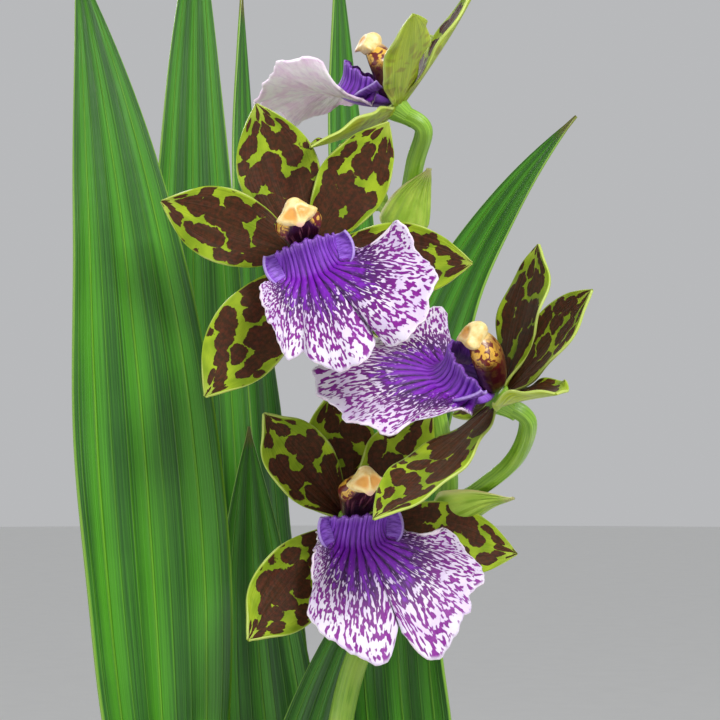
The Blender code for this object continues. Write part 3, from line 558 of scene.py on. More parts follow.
def blade(name, point_at, rows, columns, thickness, faces, reach, start, **waves):
    """A thin blade: point_at(u, v), u from root to tip and v from -1 to 1 across, pressed, then thickened.

    faces are the materials of its face and its back. The UV map "share" holds v and u, and "place" holds
    metres across and along for a blade of that reach, moved to start so that patterns don't repeat.
    """
    shape = bmesh.new()
    bmesh.ops.create_grid(shape, x_segments=columns, y_segments=rows, size=1.0)
    share = shape.loops.layers.uv.new("share")
    place = shape.loops.layers.uv.new("place")
    along = shape.verts.layers.float.new("along")
    across = shape.verts.layers.float.new("across")
    for vert in shape.verts:
        vert[along], vert[across] = (vert.co.y + 1) / 2, vert.co.x
        vert.co = point_at(vert[along], vert[across])
    for face in shape.faces:
        for loop in face.loops:
            u, v = loop.vert[along], loop.vert[across]
            loop[share].uv = (v, u)
            loop[place].uv = (v * reach[0] + start[0], u * reach[1] + start[1])
    piece = plain_piece(name, shape, faces)
    grow(piece, relief_tree, **waves)
    wall = piece.modifiers.new("Thickness", "SOLIDIFY")
    wall.thickness = thickness
    wall.offset = 0.0
    wall.material_offset = 1
    wall.material_offset_rim = 1
    return settled(piece)


def leaf_skin(name, low, high, line, edge):
    """Pleated leaf skin: fine parallel veins, a few strong pale ones, and a pale edge."""
    skin = Finish(name, coat=(0.10, 0.22))
    place = skin.uv("place")
    (v, u), (x, y) = skin.both("share"), skin.both("place")
    drift = skin.streaks(v * 1.5, y * 14)
    fine = skin.streaks(x * 2300, y * 16, 0.0, 2, 0.6)
    strong = (v * leaf_veins * math.pi + (drift - 0.5) * 0.7).cos().rise(0.975, 0.999)
    between = (v * leaf_veins * 3 * math.pi + 0.6).cos().rise(0.90, 1.0)
    clouds = skin.noise(place, 34, 3, 0.5, 0.3)
    cross = skin.streaks(x * 120, y * 420)
    folds = (v * 3 * math.pi).cos().rise(-0.9, 0.9)
    body = skin.blend((clouds * 0.22 + fine * 0.55 + folds * 0.22 + 0.02).rise(0.28, 0.72), low, high)
    body = skin.blend(between * 0.22, body, line)
    body = skin.blend(strong * 0.62, body, line)
    body = skin.blend(abs(v).rise(0.965, 0.995) * 0.7, body, edge)
    body = skin.blend((u + clouds * 0.02).rise(0.985, 1.0) * 0.6, body, (120, 100, 40))
    height = fine * 0.6 + strong * 1.2 + between * 0.4 + cross * 0.15
    return skin.finished(body, 0.30 + clouds * 0.14 + fine * 0.08, height, 0.00035)


def arc_section(half_width, half_angle, v):
    """How far across and how far up a point of an arched cross-section lies, at v from -1 to 1."""
    radius = half_width / max(half_angle, 0.02)
    turn = max(half_angle, 0.02) * v
    return radius * math.sin(turn), radius * (1 - math.cos(turn))


def leaf_half_width(u, full):
    swell = leaf_neck + (1 - leaf_neck) * smooth_step(0.0, 0.52, u)
    taper = 1.0 if u < 0.55 else max(0.0, 1 - ((u - 0.55) / 0.45) ** 2.1)
    return full / 2 * swell * max(taper, 0.02)


def leaf_point(leaf):
    *controls, full, face_root, face_tip = leaf
    a, b, c, d = (Vector(point) / 1000 for point in controls)
    full = full / 1000
    face_root, face_tip = Vector(face_root), Vector(face_tip)

    def point_at(u, v):
        spine = a * (1 - u) ** 3 + b * 3 * (1 - u) ** 2 * u + c * 3 * (1 - u) * u**2 + d * u**3
        heading = ((b - a) * (1 - u) ** 2 + (c - b) * 2 * (1 - u) * u + (d - c) * u**2).normalized()
        face = face_root.lerp(face_tip, smooth_step(0.05, 0.8, u))
        face = (face - heading * face.dot(heading)).normalized()
        side = heading.cross(face)
        fold = mix(leaf_fold_root, leaf_fold_tip, smooth_step(0.0, 0.45, u))
        half = leaf_half_width(u, full)
        across, rise = arc_section(half, fold, v)
        pleat = leaf_pleat * math.cos(3 * math.pi * v) * min(1.0, half / 0.010) * (1 - v * v)
        return spine + side * across + face * (rise - pleat)

    return point_at


leaf_face = leaf_skin("leaf face", (22, 74, 4), (66, 138, 14), (108, 168, 30), (126, 176, 40))
leaf_back = leaf_skin("leaf back", (46, 98, 16), (84, 146, 34), (118, 168, 50), (136, 178, 58))
for number, leaf in enumerate(leaves):
    strap = blade(
        f"leaf_{number + 1}_strap", leaf_point(leaf), *leaf_mesh, leaf_thickness, [leaf_face, leaf_back],
        (leaf[4] / 2000, leaf_reach), (leaf_shift * number, 0.0),
        edge_waves=5.0 + number % 3, edge_wave_height=leaf_edge_wave,
    )
    dress(strap, f"leaf_{number + 1}")


# The flower spike
# One slender upright stem with a papery sheath at each joint. Near its top each joint bears a boat-shaped
# bract, and from it a flower stalk curves out to its bloom; a last small bud ends the stem.

stalk = (
    ((-0.0120, -0.0160, 0.0900), 0.0036),
    ((-0.0140, -0.0150, 0.1500), 0.0034),
    ((-0.0160, -0.0110, 0.2150), 0.0032),
    ((-0.0160, -0.0050, 0.2750), 0.0030),
    ((-0.0125, 0.0000, 0.3080), 0.0029),
    ((-0.0035, 0.0040, 0.3300), 0.0028),
    ((0.0107, 0.0075, 0.3520), 0.0027),
    ((0.0093, 0.0070, 0.3720), 0.0026),
    ((0.0034, 0.0065, 0.3917), 0.0025),
    ((0.0005, 0.0080, 0.4172), 0.0022),
    ((-0.0046, 0.0120, 0.4247), 0.0012),
)
sheath_heights = (0.140, 0.200, 0.262)
sheath_length = 0.027
sheath_radius = 0.0043
bud_length = 0.0085
bud_radius = 0.0026
pedicel_radii = (0.0016, 0.0019, 0.0021, 0.0020, 0.0021)
bract_length = 0.0195
bract_radius = 0.0060
wrap_mesh = (30, 30)
sheath_thickness = 0.0005
bract_thickness = 0.0006
receptacle_back = 0.0052
# For each bloom: the joint of the stalk that bears it, its middle, the way it faces and the way its crown
# points, its size, how far its lip hangs in degrees, and where its crest starts and how deep it is. The
# margin is the lip's edge in points of (v across, x, y, height), in millimetres. Each tepal is its turn from
# the crown in degrees, its length, its half width, and its lean, curl, cup and twist.
blooms = {
    "bloom_1": {
        "node": 9, "centre": (-0.0005, -0.0040, 0.4457),
        "face": (-0.80, -0.02, 0.58), "crown": (0.58, -0.15, 0.80),
        "size": 0.94, "pitch": 26, "crest": (0.0045, 0.0095),
        "margin": (
            (-1, -11, -1.2, 0), (-0.92, -11.6, 1.6, -1), (-0.84, -12.4, 5.6, 1.2), (-0.76, -15.5, 11, 6.5),
            (-0.7, -19.5, 12.6, 9.5), (-0.6, -22, 17, 10.3), (-0.5, -20.5, 21, 7.6),
            (-0.38, -17, 23.5, 4.3), (-0.27, -13, 24.6, 2.1), (-0.15, -8, 27, -1.5),
            (-0.06, -3, 28.2, -4.4), (-0.02, -0.8, 26, -4), (0.03, 1, 27.2, -5), (0.12, 4.5, 25, -6),
            (0.24, 9, 21.4, -7), (0.35, 14.5, 18.4, -8.5), (0.46, 17.5, 14, -6.5), (0.58, 17, 9.6, -4),
            (0.7, 13.6, 6.4, -1.6), (0.8, 11.4, 3.8, 0.6), (0.9, 11, 1.2, 1), (1, 11, -1.2, 1),
        ),
        "tepals": (
            (0, 0.036, 0.0080, -2, 10, 0.5, -12), (52, 0.038, 0.0080, 8, 14, 0.45, 20),
            (-58, 0.034, 0.0078, 2, 16, 0.5, -12), (118, 0.038, 0.0080, 10, 14, 0.6, 30),
            (-120, 0.036, 0.0080, 6, 10, 0.5, -10),
        ),
        "bends": ((0.0020, 0.0060, 0.4240), (0.0040, 0.0020, 0.4340)), "bract": (0.5, -0.8, 0.0),
    },
    "bloom_2": {
        "node": 8, "centre": (-0.0210, -0.0260, 0.4103),
        "face": (0.04, -0.99, 0.06), "crown": (-0.31, 0.0, 0.95),
        "size": 1.0, "pitch": 38, "crest": (0.0030, 0.0045),
        "margin": (
            (-1, -10.8, -3.4, 1), (-0.92, -11.6, -2, 1), (-0.84, -13.4, 0.2, 1.6), (-0.77, -16.8, 2.4, 4.8),
            (-0.71, -20.6, 3, 8.6), (-0.64, -22.4, 5.5, 6.8), (-0.56, -23.4, 9.3, 2.6),
            (-0.46, -25, 16.7, 0), (-0.37, -21.2, 23.5, -1), (-0.3, -18, 27.6, -2.5),
            (-0.22, -13.4, 29.7, -4), (-0.14, -9.2, 26.6, -5), (-0.11, -7.6, 19.5, -4.6),
            (-0.08, -7.2, 25, -5.8), (-0.02, -3, 29.2, -7.5), (0.08, 2.2, 28.1, -8), (0.18, 6.8, 23.4, -7),
            (0.24, 8.2, 19.6, -6), (0.31, 12.1, 19.6, -5), (0.41, 12.7, 14.8, -3), (0.52, 13.4, 9.4, -0.6),
            (0.63, 13, 5.8, 2.4), (0.72, 11.6, 2.8, 4.4), (0.8, 11, 0.6, 1.6), (0.9, 10.8, -1.4, 1),
            (1, 10.8, -3.4, 1),
        ),
        "tepals": (
            (0, 0.0372, 0.0092, -7, 8, 0.25, 4), (49, 0.0360, 0.0078, -5, 12, 0.30, -8),
            (-51, 0.0354, 0.0084, -4, 10, 0.25, 6), (110, 0.0375, 0.0086, -4, 8, 0.30, 4),
            (-126, 0.0395, 0.0090, 4, 6, 0.35, -8),
        ),
        "bends": ((-0.0030, -0.0010, 0.3960), (-0.0160, -0.0080, 0.4040)), "bract": (-0.2, 0.9, -0.4),
    },
    "bloom_3": {
        "node": 6, "centre": (0.0228, -0.0180, 0.3780),
        "face": (-0.776, -0.246, 0.578), "crown": (0.62, -0.446, 0.643),
        "size": 1.04, "pitch": 22, "crest": (0.0045, 0.0095),
        "margin": (
            (-1, -11.4, -1.2, -1), (-0.93, -12.4, 1.4, -1.6), (-0.86, -14.2, 5, -1.2),
            (-0.78, -18.5, 9.6, 0.6), (-0.68, -23, 12.6, 1.2), (-0.6, -25.6, 14.4, 0.4),
            (-0.52, -25.6, 17.6, -0.8), (-0.43, -23.7, 22, -3), (-0.34, -19.8, 25, -4.5),
            (-0.26, -16, 27, -5), (-0.18, -11.5, 30.3, -5.5), (-0.1, -7.5, 32.6, -5.5),
            (-0.03, -3.6, 34, -5.4), (0, -1, 31.6, -5), (0.04, 1.2, 33.2, -4.8), (0.14, 7, 29, -4),
            (0.26, 12, 24.6, -2.5), (0.4, 17, 19, 1), (0.52, 20.6, 14.2, 4), (0.62, 20.6, 9.5, 5.5),
            (0.7, 17.5, 7.4, 4), (0.8, 13.4, 4.2, 1.2), (0.9, 11.6, 1.2, 1), (1, 11.2, -1.2, 1),
        ),
        "tepals": (
            (0, 0.0345, 0.0082, 3, 4, 0.35, -22), (50, 0.0342, 0.0078, 0, 4, 0.5, 60),
            (-45, 0.0365, 0.0080, 14, 8, 0.25, -18), (118, 0.0465, 0.0088, 14, 8, 0.30, 42),
            (-120, 0.0352, 0.0082, -6, 2, 0.3, -8),
        ),
        "bends": ((0.0180, 0.0040, 0.3560), (0.0270, -0.0040, 0.3640)), "bract": (0.5, -0.5, -0.7),
    },
    "bloom_4": {
        "node": 5, "centre": (-0.0114, -0.0060, 0.3495),
        "face": (0.31, -0.945, 0.08), "crown": (-0.08, 0.0, 1.0),
        "size": 1.0, "pitch": 46, "crest": (0.0030, 0.0045),
        "margin": (
            (-1, -10.8, -3.4, 1), (-0.92, -11.6, -2, 1), (-0.84, -13, 0.4, 1.2), (-0.77, -15.8, 2.8, 3.2),
            (-0.7, -19.6, 4, 5.6), (-0.63, -22.4, 6.6, 4), (-0.56, -25.4, 9.6, 1.5),
            (-0.47, -26.3, 14.9, -1), (-0.38, -21.9, 18.7, -2), (-0.32, -20.9, 21.8, -3),
            (-0.25, -17.9, 24.3, -4.5), (-0.16, -13.9, 28.9, -7), (-0.08, -8.6, 29.6, -8.5),
            (-0.03, -4.9, 25.1, -7), (0, -4.4, 20.8, -6.5), (0.027, -1.3, 27.4, -8),
            (0.055, 1.3, 30.5, -8.5), (0.12, 6, 29.1, -8), (0.21, 11, 26.5, -6), (0.3, 14.9, 22.3, -3),
            (0.39, 17.5, 18.7, -1.5), (0.5, 14.9, 12.9, -1), (0.62, 13.8, 7.6, 0.6), (0.72, 12.2, 4.2, 3.6),
            (0.8, 11.2, 1.4, 1.4), (0.9, 10.8, -1, 1), (1, 10.8, -3.4, 1),
        ),
        "tepals": (
            (0, 0.0312, 0.0086, -8, 6, 0.25, 0), (44, 0.0335, 0.0078, -6, 10, 0.3, -6),
            (-38, 0.0347, 0.0080, 4, 20, 0.5, 10), (106, 0.0420, 0.0086, 4, -6, 0.35, 6),
            (-129, 0.0402, 0.0090, 4, 22, 0.45, -10),
        ),
        "bends": ((-0.0080, 0.0060, 0.3360), (-0.0120, 0.0060, 0.3440)), "bract": (0.6, 0.6, -0.4),
    },
}


def stem_skin():
    """Fresh green skin with fine lines along the stem and a soft gloss."""
    skin = Finish("stem skin", coat=(0.15, 0.25))
    where, share = skin.place(), skin.uv("share")
    turn, length = skin.part(share, 0), skin.part(share, 1)
    lines = skin.streaks(turn * 34, length * 60, 0.0, 3, 0.6)
    clouds = skin.noise(where, 70, 3)
    body = skin.blend(lines.rise(0.3, 0.7), (104, 152, 30), (146, 188, 56))
    body = skin.blend(clouds.rise(0.48, 0.72) * 0.6, body, (172, 200, 84))
    return skin.finished(body, 0.30 + lines * 0.15, lines, 0.0003)


def bract_skin(name, low, high, edge):
    """Thin pale green with parallel veins and a drier cream edge."""
    skin = Finish(name, glow=(0.15, (0.6, 1.0, 0.2), 0.002))
    v, u = skin.both("share")
    lines = (v * 9 * math.pi).cos()
    clouds = skin.streaks(v * 3, u * 4, 0.0, 3)
    body = skin.blend(clouds.rise(0.3, 0.7), low, high)
    body = skin.blend(lines.rise(0.5, 1.0) * 0.4, body, low)
    body = skin.blend(abs(v).largest(u).rise(0.82, 0.98) * 0.8, body, edge)
    return skin.finished(body, None, lines, 0.0002)


def smooth_path(points, radii, per_span):
    """Points and radii on a smooth curve through the given ones (Catmull-Rom)."""
    path, sizes = [], []
    last = len(points) - 1
    for i in range(last):
        a, b, c, d = (points[min(max(k, 0), last)] for k in (i - 1, i, i + 1, i + 2))
        for step in range(per_span):
            t = step / per_span
            path.append(
                0.5 * (2 * b + (c - a) * t + (2 * a - 5 * b + 4 * c - d) * t**2
                       + (3 * b - a - 3 * c + d) * t**3)
            )
            sizes.append(mix(radii[i], radii[i + 1], t))
    return path + [points[-1]], sizes + [radii[-1]]


def stem(name, path, radii, sides, grooves, groove_depth, material):
    """A closed round stem along the path, with shallow grooves, and turn and length kept in its UV map."""
    shape = bmesh.new()
    share = shape.loops.layers.uv.new("share")
    rings, travelled = [], [0.0]
    across = Vector((1, 0, 0))
    for i, point in enumerate(path):
        heading = (path[min(i + 1, len(path) - 1)] - path[max(i - 1, 0)]).normalized()
        across = (across - heading * across.dot(heading)).normalized()
        other = heading.cross(across)
        ring = []
        for k in range(sides):
            turn = math.tau * k / sides
            size = radii[i] * (1 + groove_depth * math.cos(grooves * turn))
            ring.append(shape.verts.new(point + (across * math.cos(turn) + other * math.sin(turn)) * size))
        rings.append(ring)
        if i:
            travelled.append(travelled[-1] + (point - path[i - 1]).length)
    for i, (low, high) in enumerate(zip(rings, rings[1:])):
        for k in range(sides):
            face = shape.faces.new((low[k], low[(k + 1) % sides], high[(k + 1) % sides], high[k]))
            corners = ((k, i), (k + 1, i), (k + 1, i + 1), (k, i + 1))
            for loop, (around, along) in zip(face.loops, corners):
                loop[share].uv = (around / sides, travelled[along])
    shape.faces.new(list(reversed(rings[0])))
    shape.faces.new(rings[-1])
    return plain_piece(name, shape, [material])


def bloom_frame(spec):
    """Matrix from a bloom's own frame to the plant's: X to its right, -Y the way it looks, +Z its crown."""
    back = -Vector(spec["face"]).normalized()
    crown = Vector(spec["crown"])
    crown = (crown - back * crown.dot(back)).normalized()
    right = back.cross(crown)
    turn = Matrix((right, back, crown)).transposed().to_4x4()
    return Matrix.Translation(spec["centre"]) @ turn @ Matrix.Scale(spec["size"], 4)


def wrap_point(root, heading, face, length, radius, open_root, open_tip):
    """An arched blade round a stem that runs from root along heading."""
    heading = heading.normalized()
    face = (face - heading * face.dot(heading)).normalized()
    side = heading.cross(face)

    def point_at(u, v):
        swell = mix(0.45 * radius, radius, smooth_step(0.0, 0.28, u)) * max(0.10, 1 - u**2.8)
        turn = mix(open_root, open_tip, u) * v
        out = face * math.cos(turn) + side * math.sin(turn)
        centre = face * (0.8 * (radius - swell) * smooth_step(0.4, 1.0, u) + 0.0012 * u**2)
        return root + heading * (length * u) + centre + out * swell

    return point_at


stem_finish = stem_skin()
bract_face = bract_skin("bract inside", (150, 178, 52), (186, 206, 84), (226, 218, 160))
bract_back = bract_skin("bract outside", (140, 176, 44), (178, 204, 76), (228, 220, 150))
sheath_face = bract_skin("sheath inside", (140, 150, 70), (176, 176, 100), (200, 180, 130))
sheath_back = bract_skin("sheath outside", (128, 146, 62), (172, 172, 96), (196, 172, 120))

stalk_points = [Vector(point) for point, _ in stalk]
stalk_path, stalk_radii = smooth_path(stalk_points, [radius for _, radius in stalk], 12)
grown = [stem("stalk", stalk_path, stalk_radii, 32, 5, 0.02, stem_finish)]
for number, height in enumerate(sheath_heights):
    k = min(range(len(stalk_path)), key=lambda n: abs(stalk_path[n].z - height))
    turn = 2.4 * number + 0.6
    face = Vector((math.cos(turn), math.sin(turn), 0))
    heading = stalk_path[k + 8] - stalk_path[k]
    wrap = wrap_point(stalk_path[k], heading, face, sheath_length, sheath_radius, 2.5, 0.9)
    grown.append(blade(
        f"sheath {number}", wrap, *wrap_mesh, sheath_thickness, [sheath_back, sheath_face],
        (0.01, sheath_length), (0.1 * number, 0.2),
    ))
for name, spec in blooms.items():
    bend = [Vector(point) for point in spec["bends"]]
    turned_to = bloom_frame(spec)
    arrive = turned_to @ Vector((0, receptacle_back + 0.0030, 0))
    end = turned_to @ Vector((0, receptacle_back * 0.4, 0))
    route = [Vector(stalk[spec["node"]][0]), *bend, arrive, end]
    path, radii = smooth_path(route, pedicel_radii, 10)
    grown.append(stem(f"{name} flower stalk", path, radii, 36, 6, 0.055, stem_finish))
    heading = route[1] - route[0]
    root = route[0] - heading.normalized() * 0.0015
    wrap = wrap_point(root, heading, Vector(spec["bract"]), bract_length, bract_radius, 2.1, 1.1)
    grown.append(blade(
        f"{name} bract", wrap, *wrap_mesh, bract_thickness, [bract_back, bract_face],
        (0.008, bract_length), (0.4, 0.1),
    ))
tip_heading = (stalk_points[-1] - stalk_points[-2]).normalized()
tip_turn = tip_heading.to_track_quat("Z", "Y").to_matrix()


def bud_point(direction):
    ribs = 1 + 0.05 * math.cos(3 * math.atan2(direction.y, direction.x))
    plump = bud_radius * (1 - 0.35 * direction.z) * ribs
    local = Vector((direction.x * plump, direction.y * plump, direction.z * bud_length / 2))
    return stalk_points[-1] + tip_heading * bud_length * 0.3 + tip_turn @ local


grown.append(ball("end bud", bud_point, 32, 24, [bract_back]))
spike = joined("spike_with_bracts", grown)
dress(spike, "flower_spike")


# The sepals and petals
# Five waxy blades to each bloom, grown together behind the column. They are yellow-green, almost hidden
# by maroon-brown blotches that thin out to the tips, with a green edge; their backs are plain pale green.

tepal_thickness = 0.0006
tepal_start = 0.0026
receptacle_front = 0.0011
receptacle_radii = (0.0034, 0.0019)
tepal_mesh = (56, 28)
tepal_edge_wave = 0.0005
tepal_veins = 6.0
tepal_vein_height = 0.00005


def tepal_half_width(u, half):
    body = math.sin(math.pi * u**1.16) ** 0.88 if 0 < u < 1 else 0.0
    return half * max(0.24 * (1 - u) ** 1.5 + 0.95 * body, 0.03)


def tepal_point(tepal, turned_to):
    turn, length, half, lean, curl, cup, twist = tepal
    turn, lean, curl, twist = (math.radians(x) for x in (turn, lean, curl, twist))
    outward = Vector((math.sin(turn), 0, math.cos(turn)))
    forward = Vector((0, -1, 0))
    tangent = Vector((math.cos(turn), 0, -math.sin(turn)))
    curl = curl if abs(curl) > 0.01 else 0.01

    def point_at(u, v):
        bend = lean + curl * u
        start = outward * math.cos(lean) + forward * math.sin(lean)
        spine = outward * (math.sin(bend) - math.sin(lean)) - forward * (math.cos(bend) - math.cos(lean))
        spine = spine * (length - tepal_start) / curl + start * tepal_start
        normal = forward * math.cos(bend) - outward * math.sin(bend)
        roll = twist * (0.25 + 0.75 * u)
        side = tangent * math.cos(roll) + normal * math.sin(roll)
        normal = normal * math.cos(roll) - tangent * math.sin(roll)
        across, rise = arc_section(tepal_half_width(u, half), cup * (0.35 + 0.9 * u), v)
        keel = 0.0004 * math.exp(-((v / 0.10) ** 2)) * (1 - u)
        return turned_to @ (spine + side * across + normal * (rise - keel))

    return point_at


def tepal_face():
    """Yellow-green ground under maroon-brown blotches, close together at the root and sparse at the tip."""
    skin = Finish("blotched tepal", specular=0.20)
    place = skin.uv("place")
    (v, u), (x, y) = skin.both("share"), skin.both("place")
    wander = skin.noise(place, 330, 3, 0.6)
    sway = skin.noise(skin.vector(y, x, 0.5), 330, 3, 0.6)
    spread = skin.vector(x + (wander - 0.5) * 0.0026, y * 0.82 + (sway - 0.5) * 0.0026)
    spot = skin.cells(spread, 270, voronoi_dimensions="2D")
    speckle = skin.noise(place, 900, 3, 0.6)
    clouds = skin.noise(place, 150, 2)
    reach = 0.64 - u.rise(0.55, 1.0) * 0.20 - abs(v).rise(0.66, 1.0) * 0.34 + u.fall(0.06, 0.42) * 0.30
    blotch = (reach + (clouds - 0.5) * 0.40 - spot - (speckle - 0.5) * 0.10).rise(-0.012, 0.030)
    streak = skin.streaks(x * 1500, y * 60)
    ground = skin.blend(clouds.rise(0.3, 0.7), (112, 138, 14), (150, 172, 30))
    ground = skin.blend(u.rise(0.86, 1.0) * 0.7, ground, (176, 192, 78))
    dark = skin.blend(speckle.rise(0.35, 0.7), (46, 9, 6), (78, 22, 13))
    dark = skin.blend(streak.rise(0.45, 0.7) * 0.4, dark, (40, 8, 8))
    body = skin.blend(blotch * 0.97, ground, dark)
    body = skin.blend(u.fall(0.02, 0.13) * 0.75, body, (46, 10, 8))
    body = skin.blend(abs(v).rise(0.95, 0.99) * 0.8, body, (152, 178, 48))
    return skin.finished(body, 0.56 + streak * 0.16, streak * 0.7 + blotch * 0.25, 0.00030)


def tepal_back():
    """Plain pale green with faint lines and the blotches only just showing through."""
    skin = Finish("tepal back", glow=(0.10, (0.8, 1.0, 0.2), 0.0015))
    place = skin.uv("place")
    (v, u), (x, y) = skin.both("share"), skin.both("place")
    gap = skin.cells(place, 250, feature="DISTANCE_TO_EDGE")
    streak = skin.streaks(x * 1500, y * 60)
    clouds = skin.noise(place, 120, 2)
    body = skin.blend(streak.rise(0.3, 0.7), (134, 156, 16), (168, 184, 38))
    body = skin.blend((gap + clouds * 0.3).rise(0.22, 0.4) * u.fall(0.5, 0.95) * 0.50, body, (112, 78, 26))
    body = skin.blend(abs(v).rise(0.92, 0.99) * 0.6, body, (190, 206, 110))
    return skin.finished(body, 0.40 + streak * 0.12, streak, 0.00025)


blotched, pale_back = tepal_face(), tepal_back()
for number, (name, spec) in enumerate(blooms.items()):
    turned_to = bloom_frame(spec)
    back, front = turned_to @ Vector((0, receptacle_back, 0)), turned_to @ Vector((0, -receptacle_front, 0))
    steps = [back.lerp(front, i / 8) for i in range(9)]
    low, high = reversed(receptacle_radii)
    widths = [mix(low, high, smooth_step(0, 1, i / 8)) * spec["size"] for i in range(9)]
    pieces = [stem("receptacle", steps, widths, 32, 5, 0.05, stem_finish)]
    for i, tepal in enumerate(spec["tepals"]):
        start = (0.05 * (5 * number + i), 0.07 * number)
        pieces.append(blade(
            f"tepal {i}", tepal_point(tepal, turned_to), *tepal_mesh, tepal_thickness, [blotched, pale_back],
            (tepal[2], tepal[1]), start, veins=tepal_veins, vein_height=tepal_vein_height,
            edge_waves=2.0 + i % 2, edge_wave_height=tepal_edge_wave * (1 + 0.4 * (i % 3)),
        ))
    dress(joined(f"{name}_sepals_and_petals", pieces), f"{name}_tepals")


# The lips
# The broad front petal of each bloom, a ruffled fan hanging below the column. A ribbed violet crest stands
# round its throat, and violet veins run out from it, breaking up into dashes over the white fan.

lip_thickness = 0.0006
lip_pole = 0.0070
lip_sweep = math.radians(85)
lip_split = 2 / 6
crest_height = 0.0095
crest_side_height = 0.0050
crest_half_width = 0.0066
crest_ribs = 19
rib_depth = 0.00028
neck_half_width = 0.0086
neck_ahead = 0.0036
neck_height = 0.0013
lip_mesh = (66, 160)
lip_veins = 24.0
lip_vein_height = 0.00010
lip_tip_wave = 0.0003
ear_mesh = (20, 16)
ear_root = 0.0062
ear_reach = 0.0046
ear_half_length = 0.0025
ear_levels = (0.0008, 0.0052)
foot_mesh = (40, 20)
foot_back = 0.0014
foot_half_width = 0.0074
foot_half_height = 0.0020
foot_level = 0.0014


def pitched_frame(spec, pitch):
    """Matrix to the plant's frame from axes tipped down from the bloom's gaze: X across, Y along, Z up."""
    pitch = math.radians(pitch)
    along = Vector((0, -math.cos(pitch), -math.sin(pitch)))
    up = Vector((0, -math.sin(pitch), math.cos(pitch)))
    turn = Matrix((along.cross(up), along, up)).transposed().to_4x4()
    return bloom_frame(spec) @ turn


def margin_at(points, v):
    """The place in metres of the lip's margin at v, on a smooth curve through points of (v, x, y, height)."""
    last = len(points) - 1
    k = next(i for i in range(1, last + 1) if v <= points[i][0] or i == last)
    spots = [Vector(points[min(max(i, 0), last)]) for i in range(k - 2, k + 2)]
    before, low, high, after = spots
    span = high[0] - low[0]
    t = (v - low[0]) / span
    leave = (high - before) * (span / (high[0] - before[0]))
    enter = (after - low) * (span / (after[0] - low[0]))
    place = (
        low * (2 * t**3 - 3 * t**2 + 1) + leave * (t**3 - 2 * t**2 + t)
        + high * (3 * t**2 - 2 * t**3) + enter * (t**3 - t**2)
    )
    return Vector(place[1:]) / 1000


def lip_point(spec):
    turned_to = pitched_frame(spec, spec["pitch"])
    margin = spec["margin"]
    pole, depth = spec["crest"]

    def point_at(u, v):
        angle = v * lip_sweep
        ribs = math.cos(math.pi * crest_ribs * v)
        if u <= lip_split:
            t = u / lip_split
            across = mix(crest_half_width, neck_half_width, t**1.8)
            along = depth + neck_ahead * t**2.2
            crest = mix(crest_side_height, crest_height, max(0.0, math.cos(angle * 0.9)) ** 1.2)
            crest += 0.0004 * math.cos(23 * v + 0.8) * (1 - t)
            height = mix(neck_height, crest, (1 - t) ** 1.8) + ribs * rib_depth * (0.2 + 0.8 * t)
            lip_roll = 0.05 * smooth_step(0.30, 0.0, t)
            swell = 1 + 0.012 * ribs * (1 - t) + lip_roll
            return turned_to @ Vector((
                across * swell * math.sin(angle), pole + along * swell * math.cos(angle), height,
            ))
        t = (u - lip_split) / (1 - lip_split)
        reach = (depth + neck_ahead) * math.cos(angle)
        neck = Vector((neck_half_width * math.sin(angle), pole + reach, neck_height))
        edge = margin_at(margin, v) + Vector((0, lip_pole, 0))
        edge = edge.lerp(neck, 0.60 * smooth_step(0.76, 0.94, abs(v)))
        frill = 0.00035 * math.cos(61 * v + 1.3) + 0.00020 * math.cos(143 * v)
        flat = neck.lerp(edge, t)
        flat += (edge - neck).normalized() * frill * t**3
        height = mix(neck.z, edge.z, t**1.7)
        height += 0.0008 * t**2 * math.sin(9 * angle + 0.6) + 0.0006 * t**3 * math.sin(19 * angle + 2.0)
        height += ribs * rib_depth * max(0.0, 1 - 1.4 * t)
        return turned_to @ Vector((flat.x, flat.y, height))

    return point_at


def ear_point(spec, hand):
    """A small side lobe: a flap that stands off the crest's side and curls outwards at its rim."""
    turned_to = pitched_frame(spec, spec["pitch"])
    middle = spec["crest"][0] + ear_half_length

    def point_at(u, v):
        rise = (v + 1) / 2
        reach = ear_reach * math.sin(math.pi * (0.12 + 0.68 * rise)) ** 0.7
        x = ear_root + 0.0006 * rise + reach * math.sin(1.25 * u) * 0.85
        y = middle + ear_half_length * (1 - 2 * rise) + 0.0016 * u**2 + 0.0004 * math.sin(5 * rise)
        z = mix(*ear_levels, rise) + 0.0014 * u**2 * rise
        return turned_to @ Vector((hand * x, y, z))

    return point_at


